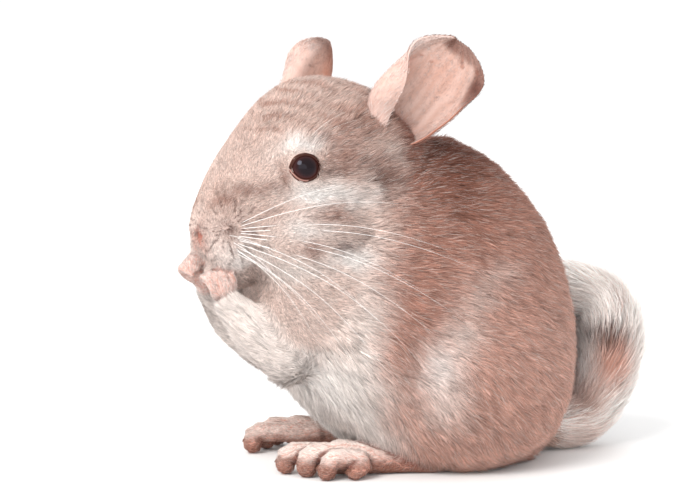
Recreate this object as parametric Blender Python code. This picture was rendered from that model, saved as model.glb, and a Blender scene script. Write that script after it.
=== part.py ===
"""A life-size chinchilla that sits on its haunches and holds both forepaws to its mouth.

Metres, +Z up. The animal faces -X, its own left side is -Y and the floor is z = 0.
The outer surface of every solid is the outside of the coat. The tail's long hair is made as locks.
"""

import math
import random

import bmesh
import bpy
from mathutils import Matrix, Vector
from mathutils.bvhtree import BVHTree

# The gap that touching nodes keep.
GAP = 0.0003

# The head's own frame: the nose tip, and the turn of the head to the animal's left.
NOSE_TIP = Vector((-0.0863, -0.0240, 0.0875))
HEAD_TURN = math.radians(18)
HEAD_BACK = Vector((math.cos(HEAD_TURN), math.sin(HEAD_TURN), 0))
HEAD_LEFT = Vector((math.sin(HEAD_TURN), -math.cos(HEAD_TURN), 0))
UP = Vector((0, 0, 1))

# Level slices of the torso: height, front, back, half width.
TORSO_SLICES = (
    (-0.004, -0.012, 0.040, 0.020),
    (0.003, -0.022, 0.047, 0.034),
    (0.010, -0.032, 0.0520, 0.042),
    (0.020, -0.043, 0.0560, 0.048),
    (0.032, -0.053, 0.0585, 0.051),
    (0.046, -0.062, 0.0595, 0.051),
    (0.060, -0.066, 0.0575, 0.049),
    (0.075, -0.062, 0.0535, 0.046),
    (0.089, -0.050, 0.0465, 0.042),
    (0.101, -0.038, 0.0370, 0.036),
    (0.111, -0.026, 0.0265, 0.029),
    (0.119, -0.012, 0.0110, 0.018),
)

# Upright slices of the head: distance behind the nose tip, bottom, top, half width.
HEAD_SLICES = (
    (0.0022, -0.0045, 0.0035, 0.0040),
    (0.0036, -0.0080, 0.0068, 0.0078),
    (0.0065, -0.0105, 0.0130, 0.0110),
    (0.0120, -0.0135, 0.0235, 0.0142),
    (0.022, -0.0165, 0.0360, 0.0190),
    (0.033, -0.0175, 0.0470, 0.0245),
    (0.045, -0.0190, 0.0525, 0.0290),
    (0.058, -0.0220, 0.0522, 0.0320),
    (0.071, -0.0240, 0.0475, 0.0325),
    (0.083, -0.0240, 0.0385, 0.0310),
    (0.094, -0.0180, 0.0270, 0.0270),
    (0.103, -0.0080, 0.0150, 0.0190),
)

# Rounded masses in the head's frame: behind, left and up from the nose tip, then the three radii.
CHEEK = ((0.046, 0.0150, -0.005), (0.028, 0.0190, 0.0200))
WHISKER_PAD = ((0.0130, 0.0072, -0.0080), (0.0090, 0.0078, 0.0086))
CHIN = ((0.0165, 0.0, -0.0165), (0.0105, 0.0078, 0.0062))
NOSE = ((0.0062, 0.0, -0.0005), (0.0046, 0.0058, 0.0060))

# Rounded masses in the body's frame, given for the left side.
HAUNCH = (Vector((0.012, -0.0275, 0.034)), Vector((0.040, 0.0270, 0.036)))
SHOULDER = (Vector((-0.034, -0.0240, 0.066)), Vector((0.028, 0.0190, 0.030)))
UPPER_ARM = (Vector((-0.050, -0.0260, 0.050)), Vector((0.0180, 0.0140, 0.0180)))

# Where the haunch is parted from the torso.
HAUNCH_CUT = (Vector((0.013, -0.0530, 0.030)), Vector((0.036, 0.0300, 0.034)))

# The neck lies between two slanted planes. Each is a point with the direction towards the head.
NECK_DIRECTION = Vector((-0.82, -0.12, 0.56)).normalized()
NECK_FRONT = Vector((0.0040, 0, 0.1280))
NECK_LENGTH = 0.015

# Eyes, in the head's frame: place on the face, gaze, and how far the ball stands out of the coat.
EYE_PLACE = Vector((0.0330, 0.0, 0.0210))
EYE_GAZE = Vector((-0.30, 0.94, 0.10)).normalized()
EYE_RADIUS = 0.0058
EYE_PROUD = 0.0012
LID_THICKNESS = 0.0009
LID_WIDTH = 0.0099
LID_HEIGHT = 0.0091

# Nostrils and mouth, in the head's frame.
NOSTRIL = (Vector((0.0120, 0.0014, -0.0028)), Vector((0.0016, 0.0009, 0.0019)))
MOUTH_GROOVE = 0.0007
MOUTH_LINE = (
    (0.0028, 0.0, -0.0055),
    (0.0048, 0.0, -0.0100),
    (0.0070, 0.0020, -0.0142),
    (0.0110, 0.0060, -0.0166),
    (0.0170, 0.0100, -0.0170),
)

# Ears: where they stand on the head, the way they point, the way the cup opens, and their sizes.
# Each ear: its base, the way it points and the way its cup opens, in the head's frame.
EARS = {
    "left": (Vector((0.0672, 0.0185, 0.0295)), Vector((0.36, 0.44, 0.77)), Vector((-0.40, 0.90, -0.10))),
    "right": (Vector((0.0575, 0.0255, 0.0300)), Vector((0.48, 0.36, 0.80)), Vector((-0.65, 0.75, 0.0))),
}
EAR_LENGTH = 0.0445
EAR_THICKNESS = 0.0011
# Sections of the ear: share of its length, width of its front half and of its back half laid flat,
# bend of the whole, and the roll of the front and back margins in degrees.
EAR_SECTIONS = (
    (0.00, 0.0130, 0.0120, 300, 0, 0),
    (0.10, 0.0205, 0.0138, 200, 70, 30),
    (0.22, 0.0258, 0.0160, 120, 140, 80),
    (0.34, 0.0275, 0.0176, 90, 150, 95),
    (0.46, 0.0260, 0.0190, 70, 140, 98),
    (0.58, 0.0228, 0.0196, 60, 115, 95),
    (0.68, 0.0193, 0.0196, 55, 82, 75),
    (0.78, 0.0153, 0.0186, 50, 42, 35),
    (0.86, 0.0115, 0.0168, 45, 12, 5),
    (0.93, 0.0072, 0.0133, 40, 0, 0),
    (0.98, 0.0032, 0.0086, 35, 0, 0),
    (1.00, 0.0012, 0.0052, 30, 0, 0),
)
# Where the roll of the front margin and that of the back margin begin and end.
FRONT_ROLL = (0.45, 0.80)
BACK_ROLL = (0.62, 1.00)
# The columns of the sheet from its middle to either margin, closest where it rolls.
EAR_COLUMNS = (0.15, 0.30, 0.45, 0.53, 0.61, 0.69, 0.77, 0.88, 1.0)

# Forelegs, left side: elbow, wrist and middle of the closed paw, in the body's frame.
LEFT_FORELEG = (
    Vector((-0.0510, -0.0270, 0.0450)),
    Vector((-0.0715, -0.0310, 0.0595)),
    Vector((-0.0752, -0.0295, 0.0662)),
)
RIGHT_FORELEG = (
    Vector((-0.0520, 0.0170, 0.0450)),
    Vector((-0.0745, -0.0040, 0.0620)),
    Vector((-0.0812, -0.0130, 0.0712)),
)
ELBOW_RADIUS = 0.0130
FOREARM_RADIUS = 0.0105
WRIST_RADIUS = 0.0062
PAW_WRIST_RADIUS = 0.0042
PALM = Vector((0.0040, 0.0052, 0.0040))
FINGER_RADIUS = 0.00145
FINGER_SPACING = 0.0026
FINGER_REACH = 0.0062

# Hind feet, left side, in the body's frame.
FOOT_LINE = ((0.006, -0.0290, 0.0050), (-0.014, -0.0285, 0.0054), (-0.034, -0.0285, 0.0066))
FOOT_RADIUS = 0.0057
RIGHT_FOOT_SHIFT = Vector((-0.0050, -0.0025, 0))
# Toes: sideways place, tip, radius and height of the knuckle. The side toe is short.
TOES = (
    (0.0054, -0.0560, 0.0037, 0.0078),
    (-0.0012, -0.0500, 0.0039, 0.0084),
    (-0.0074, -0.0440, 0.0036, 0.0072),
    (-0.0090, -0.0335, 0.0025, 0.0046),
)
CLAW_LENGTH = 0.0020
CLAW_RADIUS = 0.0008

# The tail's middle line from the rump, with the radius of its core and that of its long hair.
TAIL_LINE = (
    (0.0420, 0.0030, 0.0110, 0.0090, 0.0120),
    (0.0560, 0.0060, 0.0105, 0.0086, 0.0120),
    (0.0670, 0.0080, 0.0130, 0.0082, 0.0130),
    (0.0735, 0.0090, 0.0220, 0.0078, 0.0145),
    (0.0775, 0.0100, 0.0350, 0.0074, 0.0160),
    (0.0785, 0.0120, 0.0460, 0.0070, 0.0160),
    (0.0755, 0.0160, 0.0540, 0.0060, 0.0155),
    (0.0660, 0.0220, 0.0550, 0.0044, 0.0150),
)
TAIL_STEPS = 8
# The distances along the tail, as shares of it, where it is parted.
TAIL_PARTS = (0.30, 0.62)
LOCK_ROWS = 10
FIRST_ROW = 0.16
LAST_ROW = 0.98
LOCKS_A_ROW = 7
LOCK_LENGTH = 0.0200
LOCK_WIDTH = 0.0098
LOCK_THICKNESS = 0.0018
LOCK_STEPS = 3
# How deep a root lies in the core, as a share of the hair's depth over it.
LOCK_ROOT = 0.28
# No lock grows on the inside of a bend where it would reach past this share of the bend's radius.
BEND_SHARE = 0.75

# Colours, as linear RGB.
FUR_BEIGE = (0.62, 0.45, 0.38, 1)
FUR_PALE = (0.85, 0.80, 0.76, 1)
SKIN_PINK = (0.72, 0.47, 0.40, 1)
EYE_DARK = (0.020, 0.007, 0.006, 1)


def clear_scene():
    for old in list(bpy.data.objects):
        bpy.data.objects.remove(old)


def material(name, colour, roughness):
    made = bpy.data.materials.new(name)
    made.use_nodes = True
    shader = made.node_tree.nodes["Principled BSDF"]
    shader.inputs["Base Color"].default_value = colour
    shader.inputs["Roughness"].default_value = roughness
    return made


def add_object(name, mesh):
    made = bpy.data.objects.new(name, mesh)
    bpy.context.scene.collection.objects.link(made)
    return made


def remove(*objects):
    for old in objects:
        bpy.data.objects.remove(old)


def apply_modifiers(obj):
    """Makes the shape that the modifiers give into the object's own mesh."""
    graph = bpy.context.evaluated_depsgraph_get()
    mesh = bpy.data.meshes.new_from_object(obj.evaluated_get(graph))
    obj.modifiers.clear()
    obj.data = mesh
    return obj


def head_point(behind, left, up):
    return NOSE_TIP + HEAD_BACK * behind + HEAD_LEFT * left + UP * up


def head_direction(direction):
    return HEAD_BACK * direction[0] + HEAD_LEFT * direction[1] + UP * direction[2]


def resample(rows, steps):
    """Rows of numbers with a smooth curve through them, steps rows for each row given."""
    smooth = []
    last = len(rows) - 1
    for i in range(last):
        around = [rows[max(i - 1, 0)], rows[i], rows[i + 1], rows[min(i + 2, last)]]
        for k in range(steps):
            t = k / steps
            weights = (
                -0.5 * t + t**2 - 0.5 * t**3,
                1 - 2.5 * t**2 + 1.5 * t**3,
                0.5 * t + 2 * t**2 - 1.5 * t**3,
                -0.5 * t**2 + 0.5 * t**3,
            )
            smooth.append(tuple(sum(w * row[c] for w, row in zip(weights, around)) for c in range(len(rows[0]))))
    smooth.append(tuple(rows[last]))
    return smooth


def ringed_mesh(name, rings):
    """A closed mesh through rings of points, each ring with the same count, and capped at both ends."""
    shape = bmesh.new()
    loops = [[shape.verts.new(point) for point in ring] for ring in rings]
    sides = len(loops[0])
    for below, above in zip(loops, loops[1:]):
        for k in range(sides):
            after = (k + 1) % sides
            shape.faces.new((below[k], below[after], above[after], above[k]))
    shape.faces.new(list(reversed(loops[0])))
    shape.faces.new(loops[-1])
    shape.normal_update()
    bmesh.ops.recalc_face_normals(shape, faces=shape.faces)
    mesh = bpy.data.meshes.new(name)
    shape.to_mesh(mesh)
    shape.free()
    return mesh


def sliced_mesh(name, slices, place, sides=40, steps=3, power=2.2):
    """A closed mesh from slices of (distance, low, high, half width), each a rounded section."""
    rings = []
    for distance, low, high, half_width in resample(slices, steps):
        ring = []
        for k in range(sides):
            angle = math.tau * k / sides
            c, s = math.cos(angle), math.sin(angle)
            across = math.copysign(abs(s) ** (2 / power), s) * half_width
            along = (low + high) / 2 + math.copysign(abs(c) ** (2 / power), c) * (high - low) / 2
            ring.append(place(distance, along, across))
        rings.append(ring)
    return ringed_mesh(name, rings)


def ellipsoid(name, centre, radii, axes=(Vector((1, 0, 0)), Vector((0, 1, 0)), Vector((0, 0, 1))), detail=3):
    """A closed ball with its three radii along the axes given."""
    shape = bmesh.new()
    bmesh.ops.create_icosphere(shape, subdivisions=detail, radius=1)
    for vert in shape.verts:
        x, y, z = vert.co
        vert.co = Vector(centre) + axes[0] * x * radii[0] + axes[1] * y * radii[1] + axes[2] * z * radii[2]
    shape.normal_update()
    bmesh.ops.recalc_face_normals(shape, faces=shape.faces)
    mesh = bpy.data.meshes.new(name)
    shape.to_mesh(mesh)
    shape.free()
    return mesh


def frames_along(points):
    """(tangent, side, other side) at each point of a line, turning as little as possible."""
    frames = []
    side = None
    for i in range(len(points)):
        tangent = (points[min(i + 1, len(points) - 1)] - points[max(i - 1, 0)]).normalized()
        if side is None:
            side = tangent.orthogonal()
        side = (side - tangent * side.dot(tangent)).normalized()
        frames.append((tangent, side, tangent.cross(side)))
    return frames


def tube(name, line, radii, sides=12, steps=4, flatten=1.0):
    """A closed tube with rounded ends along a smooth line. flatten squeezes its height."""
    rows = resample([tuple(point) + (radius,) for point, radius in zip(line, radii)], steps)
    points = [Vector(row[:3]) for row in rows]
    frames = frames_along(points)
    rings = []

    def add_ring(point, frame, radius):
        ring = []
        for k in range(sides):
            angle = math.tau * k / sides
            offset = (frame[1] * math.cos(angle) + frame[2] * math.sin(angle)) * radius
            offset.z *= flatten
            ring.append(point + offset)
        rings.append(ring)

    for turn in (75, 45, 20):
        lean, out = math.cos(math.radians(turn)), math.sin(math.radians(turn))
        add_ring(points[0] - frames[0][0] * rows[0][3] * out, frames[0], rows[0][3] * lean)
    for point, frame, row in zip(points, frames, rows):
        add_ring(point, frame, row[3])
    for turn in (20, 45, 75):
        lean, out = math.cos(math.radians(turn)), math.sin(math.radians(turn))
        add_ring(points[-1] + frames[-1][0] * rows[-1][3] * out, frames[-1], rows[-1][3] * lean)
    return ringed_mesh(name, rings)


def joined(name, meshes):
    """One object that holds all the meshes."""
    shape = bmesh.new()
    for mesh in meshes:
        shape.from_mesh(mesh)
        bpy.data.meshes.remove(mesh)
    whole = bpy.data.meshes.new(name)
    shape.to_mesh(whole)
    shape.free()
    return add_object(name, whole)


def fuse(name, meshes, voxel, smoothing, triangles=None):
    """Melts overlapping closed meshes into one smooth skin, of about so many triangles if that is given."""
    obj = joined(name, meshes)
    remesh = obj.modifiers.new("melt", "REMESH")
    remesh.mode = "VOXEL"
    remesh.voxel_size = voxel
    smooth = obj.modifiers.new("smooth", "SMOOTH")
    smooth.factor = 0.5
    smooth.iterations = smoothing
    apply_modifiers(obj)
    if triangles is None:
        return obj
    obj.data.calc_loop_triangles()
    decimate = obj.modifiers.new("thin out", "DECIMATE")
    decimate.ratio = min(1.0, triangles / len(obj.data.loop_triangles))
    decimate.use_collapse_triangulate = True
    return apply_modifiers(obj)


def combine(obj, tool, operation, solver="EXACT"):
    """Cuts, joins or intersects obj with tool, which stays as it is."""
    modifier = obj.modifiers.new(operation.lower(), "BOOLEAN")
    modifier.operation = operation
    modifier.object = tool
    modifier.solver = solver
    return apply_modifiers(obj)


def copy_of(obj, name):
    return add_object(name, obj.data.copy())


def swollen(obj, by):
    """A copy whose surface lies further out by a distance."""
    made = copy_of(obj, obj.name + "_swollen")
    normals = [vert.normal.copy() for vert in made.data.vertices]
    for vert, normal in zip(made.data.vertices, normals):
        vert.co += normal * by
    return made


def half_space(point, normal, size=0.5):
    """A large block that fills the side of the plane that normal points to."""
    shape = bmesh.new()
    bmesh.ops.create_cube(shape, size=size)
    turn = Vector(normal).to_track_quat("Z", "Y").to_matrix().to_4x4()
    bmesh.ops.transform(shape, verts=shape.verts, matrix=turn)
    bmesh.ops.translate(shape, verts=shape.verts, vec=Vector(point) + Vector(normal).normalized() * size / 2)
    mesh = bpy.data.meshes.new("half_space")
    shape.to_mesh(mesh)
    shape.free()
    return add_object("half_space", mesh)


def clip(obj, point, normal, solver="EXACT"):
    """Keeps the side of the plane that normal points to."""
    block = half_space(point, normal)
    combine(obj, block, "INTERSECT", solver)
    remove(block)
    return obj


def keep_largest(obj):
    """Keeps the closed surface with the largest volume and drops loose scraps."""
    shape = bmesh.new()
    shape.from_mesh(obj.data)
    groups = []
    waiting = set(shape.verts)
    while waiting:
        start = waiting.pop()
        group, edge = {start}, [start]
        while edge:
            vert = edge.pop()
            for link in vert.link_edges:
                other = link.other_vert(vert)
                if other not in group:
                    group.add(other)
                    edge.append(other)
        waiting -= group
        groups.append(group)

    def size(group):
        faces = {face for vert in group for face in vert.link_faces}
        total = 0.0
        for face in faces:
            first = face.verts[0].co
            for a, b in zip(face.verts[1:], face.verts[2:]):
                total += first.dot(a.co.cross(b.co)) / 6
        return abs(total)

    largest = max(groups, key=size)
    bmesh.ops.delete(shape, geom=[vert for vert in shape.verts if vert not in largest], context="VERTS")
    shape.to_mesh(obj.data)
    shape.free()
    return obj


def simplified(obj):
    """Takes out the points that only bend one edge, and splits the faces into triangles."""
    shape = bmesh.new()
    shape.from_mesh(obj.data)
    spare = [vert for vert in shape.verts if len(vert.link_edges) == 2]
    bmesh.ops.dissolve_verts(shape, verts=spare)
    bmesh.ops.triangulate(shape, faces=shape.faces[:])
    shape.to_mesh(obj.data)
    shape.free()
    return obj


def mirrored(vector):
    return Vector((vector[0], -vector[1], vector[2]))


def make_trunk():
    """The mesh of the trunk with its haunches and shoulders melted in."""
    meshes = [sliced_mesh("torso", TORSO_SLICES, lambda height, x, y: Vector((x, y, height)))]
    for name, (place, radii) in (("haunch", HAUNCH), ("shoulder", SHOULDER), ("arm", UPPER_ARM)):
        meshes.append(ellipsoid(name, place, radii))
        meshes.append(ellipsoid(name, mirrored(place), radii))
    trunk = fuse("trunk", meshes, voxel=0.0022, smoothing=12)
    mesh = trunk.data
    remove(trunk)
    return mesh


def make_body():
    """The trunk, neck and head in one skin, before it is parted."""
    head_axes = (HEAD_BACK, HEAD_LEFT, UP)
    meshes = [
        make_trunk(),
        sliced_mesh("head", HEAD_SLICES, lambda behind, up, left: head_point(behind, left, up)),
    ]
    for name, (place, radii) in (("cheek", CHEEK), ("pad", WHISKER_PAD)):
        for side in (1, -1):
            meshes.append(ellipsoid(name, head_point(place[0], side * place[1], place[2]), radii, head_axes))
    for name, (place, radii) in (("chin", CHIN), ("nose", NOSE)):
        meshes.append(ellipsoid(name, head_point(*place), radii, head_axes))
    body = fuse("body", meshes, voxel=0.0012, smoothing=13, triangles=2700)
    return clip(body, (0, 0, 0), (0, 0, 1))


def surface_point(obj, start, direction):
    """Where a ray from inside the object leaves it."""
    tree = BVHTree.FromObject(obj, bpy.context.evaluated_depsgraph_get())
    return tree.ray_cast(start, direction)[0]


def make_eyes(body):
    """Both eyeballs, and their lids and sockets on the body."""
    eyes = []
    for name, side in (("eye_left", 1), ("eye_right", -1)):
        gaze = head_direction(Vector((EYE_GAZE.x, side * EYE_GAZE.y, EYE_GAZE.z)))
        inside = head_point(EYE_PLACE.x, EYE_PLACE.y, EYE_PLACE.z)
        aim = head_direction(Vector((0, side, 0)))
        outside = surface_point(body, inside, aim)
        centre = outside + gaze * (EYE_PROUD - EYE_RADIUS)
        along = gaze.cross(UP).normalized()
        above = along.cross(gaze).normalized()
        if above.z < 0:
            above = -above
        lids = add_object("lids", ellipsoid("lids", centre, [EYE_RADIUS + LID_THICKNESS] * 3))
        combine(body, lids, "UNION")
        opening = ellipsoid(
            "opening",
            centre + gaze * EYE_RADIUS,
            (LID_WIDTH / 2, EYE_RADIUS * 0.95, LID_HEIGHT / 2),
            (along, gaze, above),
            detail=2,
        )
        socket = ellipsoid("socket", centre, [EYE_RADIUS + GAP] * 3)
        for tool_mesh in (opening, socket):
            tool = add_object("tool", tool_mesh)
            combine(body, tool, "DIFFERENCE")
            remove(tool)
        remove(lids)
        eyes.append(add_object(name, ellipsoid(name, centre, [EYE_RADIUS] * 3)))
    keep_largest(body)
    return eyes


def carve_nose_and_mouth(body):
    """The two nostrils, the groove under the nose and the line of the mouth on both sides."""
    tools = []
    for side in (1, -1):
        place, radii = NOSTRIL
        across = (HEAD_LEFT * 0.8 - HEAD_BACK * side * 0.3 - UP * side * 0.5).normalized()
        slant = across.cross(UP).normalized()
        tools.append(
            ellipsoid(
                "nostril",
                surface_point(body, head_point(place.x, side * place.y, place.z), head_direction((-1, side * 0.2, -0.05))),
                radii,
                (slant, across, slant.cross(across)),
                detail=2,
            )
        )
        line = [head_point(behind, side * left, up) for behind, left, up in MOUTH_LINE]
        if side < 0:
            line = line[1:]
        tools.append(tube("mouth", line, [MOUTH_GROOVE] * len(line), sides=6, steps=3))
    for mesh in tools:
        tool = add_object("tool", mesh)
        combine(body, tool, "DIFFERENCE")
        remove(tool)
    keep_largest(body)


def part_body(body):
    """Cuts the body into the head, the neck, the torso and the two haunches, with thin gaps."""
    head = copy_of(body, "head")
    neck = copy_of(body, "neck")
    torso = body
    torso.name = "torso"
    neck_back = NECK_FRONT - NECK_DIRECTION * NECK_LENGTH
    clip(head, NECK_FRONT + NECK_DIRECTION * GAP, NECK_DIRECTION)
    clip(neck, NECK_FRONT, -NECK_DIRECTION)
    clip(neck, neck_back + NECK_DIRECTION * GAP, NECK_DIRECTION)
    clip(torso, neck_back, -NECK_DIRECTION)
    haunches = []
    centre, radii = HAUNCH_CUT
    for name, place in (("haunch_left", centre), ("haunch_right", mirrored(centre))):
        haunch = copy_of(torso, name)
        inner = add_object("inner", ellipsoid("inner", place, radii))
        outer = add_object("outer", ellipsoid("outer", place, radii + Vector((GAP, GAP, GAP))))
        combine(haunch, inner, "INTERSECT")
        combine(torso, outer, "DIFFERENCE")
        remove(inner, outer)
        haunches.append(haunch)
    for node in (head, neck, torso, *haunches):
        keep_largest(node)
    return [head, neck, torso, *haunches]


def ear_margin(width, bend, roll, span):
    """Points from the middle of the ear to a margin, as (across, towards the opening)."""
    steps = 6
    points = []
    x = y = u = 0.0
    for column in EAR_COLUMNS:
        stride = (column - u) / steps
        for _ in range(steps):
            rolled = min(max((u + stride / 2 - span[0]) / (span[1] - span[0]), 0), 1)
            heading = math.radians((u + stride / 2) * bend / 2 + roll * rolled)
            x += math.cos(heading) * width * stride
            y += math.sin(heading) * width * stride
            u += stride
        points.append((x, y))
    return points


def ear_section(share):
    """Points across the ear at a share of its length, from its front margin to its back one."""
    sections = resample(EAR_SECTIONS, 8)
    after = next(k for k, row in enumerate(sections) if row[0] >= share)
    low, high = sections[max(after - 1, 0)], sections[after]
    t = (share - low[0]) / max(high[0] - low[0], 1e-9)
    front, back, bend, front_roll, back_roll = (a + (b - a) * t for a, b in zip(low[1:], high[1:]))
    before = ear_margin(front, bend, front_roll, FRONT_ROLL)
    behind = ear_margin(back, bend, back_roll, BACK_ROLL)
    return [(-x, y) for x, y in reversed(before)] + [(0.0, 0.0)] + behind


def make_ear(which, side, rows=10):
    """A cupped sheet of even thickness: nearly a tube at its base and almost flat at its tip."""
    base, pointing, opening = EARS[which]
    base = head_point(base.x, side * base.y, base.z)
    axis = head_direction((pointing.x, side * pointing.y, pointing.z)).normalized()
    opening = head_direction((opening.x, side * opening.y, opening.z))
    opening = (opening - axis * opening.dot(axis)).normalized()
    across = axis.cross(opening) * side
    tube_radius = (EAR_SECTIONS[0][1] + EAR_SECTIONS[0][2]) / math.radians(EAR_SECTIONS[0][3])
    shape = bmesh.new()
    grid = []
    for i in range(rows + 1):
        share = 1 - (1 - i / rows) ** 1.4
        settle = max(1 - share / 0.5, 0) ** 2
        row = []
        for x, y in ear_section(share):
            point = base + axis * EAR_LENGTH * share + across * x + opening * (y - tube_radius * settle)
            row.append(shape.verts.new(point))
        grid.append(row)
    for below, above in zip(grid, grid[1:]):
        for k in range(len(below) - 1):
            corners = (below[k], below[k + 1], above[k + 1], above[k])
            shape.faces.new(tuple(reversed(corners)) if side > 0 else corners)
    mesh = bpy.data.meshes.new("ear")
    shape.to_mesh(mesh)
    shape.free()
    ear = add_object("ear_" + which, mesh)
    thick = ear.modifiers.new("thickness", "SOLIDIFY")
    thick.thickness = EAR_THICKNESS
    thick.offset = 0
    return apply_modifiers(ear)


def make_foreleg(name, elbow, wrist):
    middle = elbow.lerp(wrist, 0.5) + Vector((-0.0010, 0, -0.0010))
    mesh = tube(name, (elbow, middle, wrist), (ELBOW_RADIUS, FOREARM_RADIUS, WRIST_RADIUS), sides=14, steps=3)
    return add_object(name, mesh)


def make_forepaw(name, wrist, palm, curl):
    """A closed paw: a palm and four curled fingers with short claws."""
    reach = (palm - wrist).normalized()
    inward = (curl - reach * curl.dot(reach)).normalized()
    across = reach.cross(inward)
    meshes = [
        ellipsoid("palm", palm - inward * 0.0006, PALM.zyx, (inward, across, reach), detail=2),
        tube("wrist", (wrist, palm), (PAW_WRIST_RADIUS, PAW_WRIST_RADIUS), sides=12, steps=2),
    ]
    for i in range(4):
        root = palm + across * (i - 1.5) * FINGER_SPACING - inward * 0.0022 + reach * 0.0010
        knuckle = root + reach * FINGER_REACH * 0.62 - inward * 0.0006
        bend = root + reach * FINGER_REACH + inward * 0.0024
        tip = root + reach * FINGER_REACH * 0.72 + inward * 0.0052
        radii = (FINGER_RADIUS * 1.1, FINGER_RADIUS * 1.2, FINGER_RADIUS * 1.05, FINGER_RADIUS * 0.85)
        meshes.append(tube("finger", (root, knuckle, bend, tip), radii, sides=8, steps=3))
    return fuse(name, meshes, voxel=0.0004, smoothing=1, triangles=400)


def make_hind_foot(name, side, shift):
    """A long flat foot with four toes, each with a pad and a claw."""

    def place(x, y, z):
        return Vector((x, y if side > 0 else -y, z)) + shift

    line = [place(*point) for point in FOOT_LINE]
    meshes = [tube("sole", line, (FOOT_RADIUS, FOOT_RADIUS * 0.92, FOOT_RADIUS * 1.08), sides=14, steps=3)]
    ball = FOOT_LINE[-1]
    for sideways, reach, radius, height in TOES:
        root = place(max(ball[0], reach) + 0.006, ball[1] + sideways * 0.7, ball[2] * 0.9)
        knuckle = place(reach + 0.0065, ball[1] + sideways, height)
        tip = place(reach + radius, ball[1] + sideways * 1.15, radius * 0.92)
        meshes.append(tube("toe", (root, knuckle, tip), (radius * 1.05, radius, radius * 0.95), sides=10, steps=3))
        claw_root = tip + Vector((-radius * 0.4, 0, radius * 0.55))
        claw_tip = claw_root + Vector((-CLAW_LENGTH, 0, -CLAW_LENGTH * 0.35))
        meshes.append(tube("claw", (claw_root, claw_tip), (CLAW_RADIUS, CLAW_RADIUS * 0.45), sides=6, steps=2))
    foot = fuse(name, meshes, voxel=0.0005, smoothing=2, triangles=460)
    return clip(foot, (0, 0, 0), (0, 0, 1))


def tail_stations():
    """The tail's middle line in fine steps: points, frames, core radii, hair radii and distances."""
    rows = resample(TAIL_LINE, TAIL_STEPS)
    points = [Vector(row[:3]) for row in rows]
    distances = [0.0]
    for before, after in zip(points, points[1:]):
        distances.append(distances[-1] + (after - before).length)
    return points, frames_along(points), [row[3] for row in rows], [row[4] for row in rows], distances


def station_at(distances, distance):
    """The number of the first station at or past a distance along the tail."""
    return next((k for k, reached in enumerate(distances) if reached >= distance), len(distances) - 1)


def tail_place(stations, distance, angle, rise):
    """A point of the hair: rise is 0 on the core and 1 on the outside of the long hair."""
    points, frames, cores, hairs, distances = stations
    i = station_at(distances, distance)
    tangent, side, other = frames[i]
    outward = side * math.cos(angle) + other * math.sin(angle)
    radius = cores[i] + (hairs[i] - cores[i]) * rise
    return points[i] + tangent * (distance - distances[i]) + outward * radius, tangent, outward


def bend_share(stations, distance, angle):
    """How much of a bend's radius the hair takes up on its inside. It is negative on the outside."""
    points, frames, cores, hairs, distances = stations
    i = station_at(distances, distance)
    before, after = max(i - TAIL_STEPS, 0), min(i + TAIL_STEPS, len(distances) - 1)
    bend = (frames[after][0] - frames[before][0]) / (distances[after] - distances[before])
    tangent, side, other = frames[i]
    return bend.dot(side * math.cos(angle) + other * math.sin(angle)) * hairs[i]


def lock_mesh(stations, start, angle, length, width, turn):
    """A flat tapered lock that leaves the core and follows the tail's own bend."""
    rings = []
    for k in range(LOCK_STEPS + 1):
        share = k / LOCK_STEPS
        rise = (1 + LOCK_ROOT) * math.sin(share * math.pi / 2) - LOCK_ROOT
        middle, tangent, outward = tail_place(stations, start + length * share, angle + turn * share, rise)
        across = tangent.cross(outward)
        half = width / 2 * max(1 - share**2, 0.05)
        thick = LOCK_THICKNESS * max(1 - share**1.5, 0.10)
        rings.append([middle - across * half, middle + across * half, middle + outward * thick])
    return ringed_mesh("lock", rings)


def make_tail():
    """The tail's core with its overlapping locks, in one closed body before it is parted."""
    draw = random.Random(4)
    stations = tail_stations()
    core_radii = [row[3] for row in TAIL_LINE]
    core = add_object("tail", tube("tail", [row[:3] for row in TAIL_LINE], core_radii, sides=12, steps=2))
    locks = bpy.data.collections.new("locks")
    bpy.context.scene.collection.children.link(locks)
    whole = stations[4][-1]
    for row in range(LOCK_ROWS):
        start = whole * (FIRST_ROW + (LAST_ROW - FIRST_ROW) * row / (LOCK_ROWS - 1))
        for k in range(LOCKS_A_ROW):
            angle = math.tau * (k + 0.5 * (row % 2) + draw.uniform(-0.12, 0.12)) / LOCKS_A_ROW
            length = LOCK_LENGTH * draw.uniform(0.84, 1.12)
            width = LOCK_WIDTH * draw.uniform(0.85, 1.15)
            turn = draw.uniform(-0.22, 0.22)
            if bend_share(stations, start + length / 2, angle) > BEND_SHARE:
                continue
            mesh = lock_mesh(stations, start, angle, length, width, turn)
            locks.objects.link(bpy.data.objects.new("lock", mesh))
    union = core.modifiers.new("locks", "BOOLEAN")
    union.operation = "UNION"
    union.operand_type = "COLLECTION"
    union.collection = locks
    union.solver = "MANIFOLD"
    apply_modifiers(core)
    remove(*locks.objects)
    bpy.data.collections.remove(locks)
    return simplified(keep_largest(core))


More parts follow.
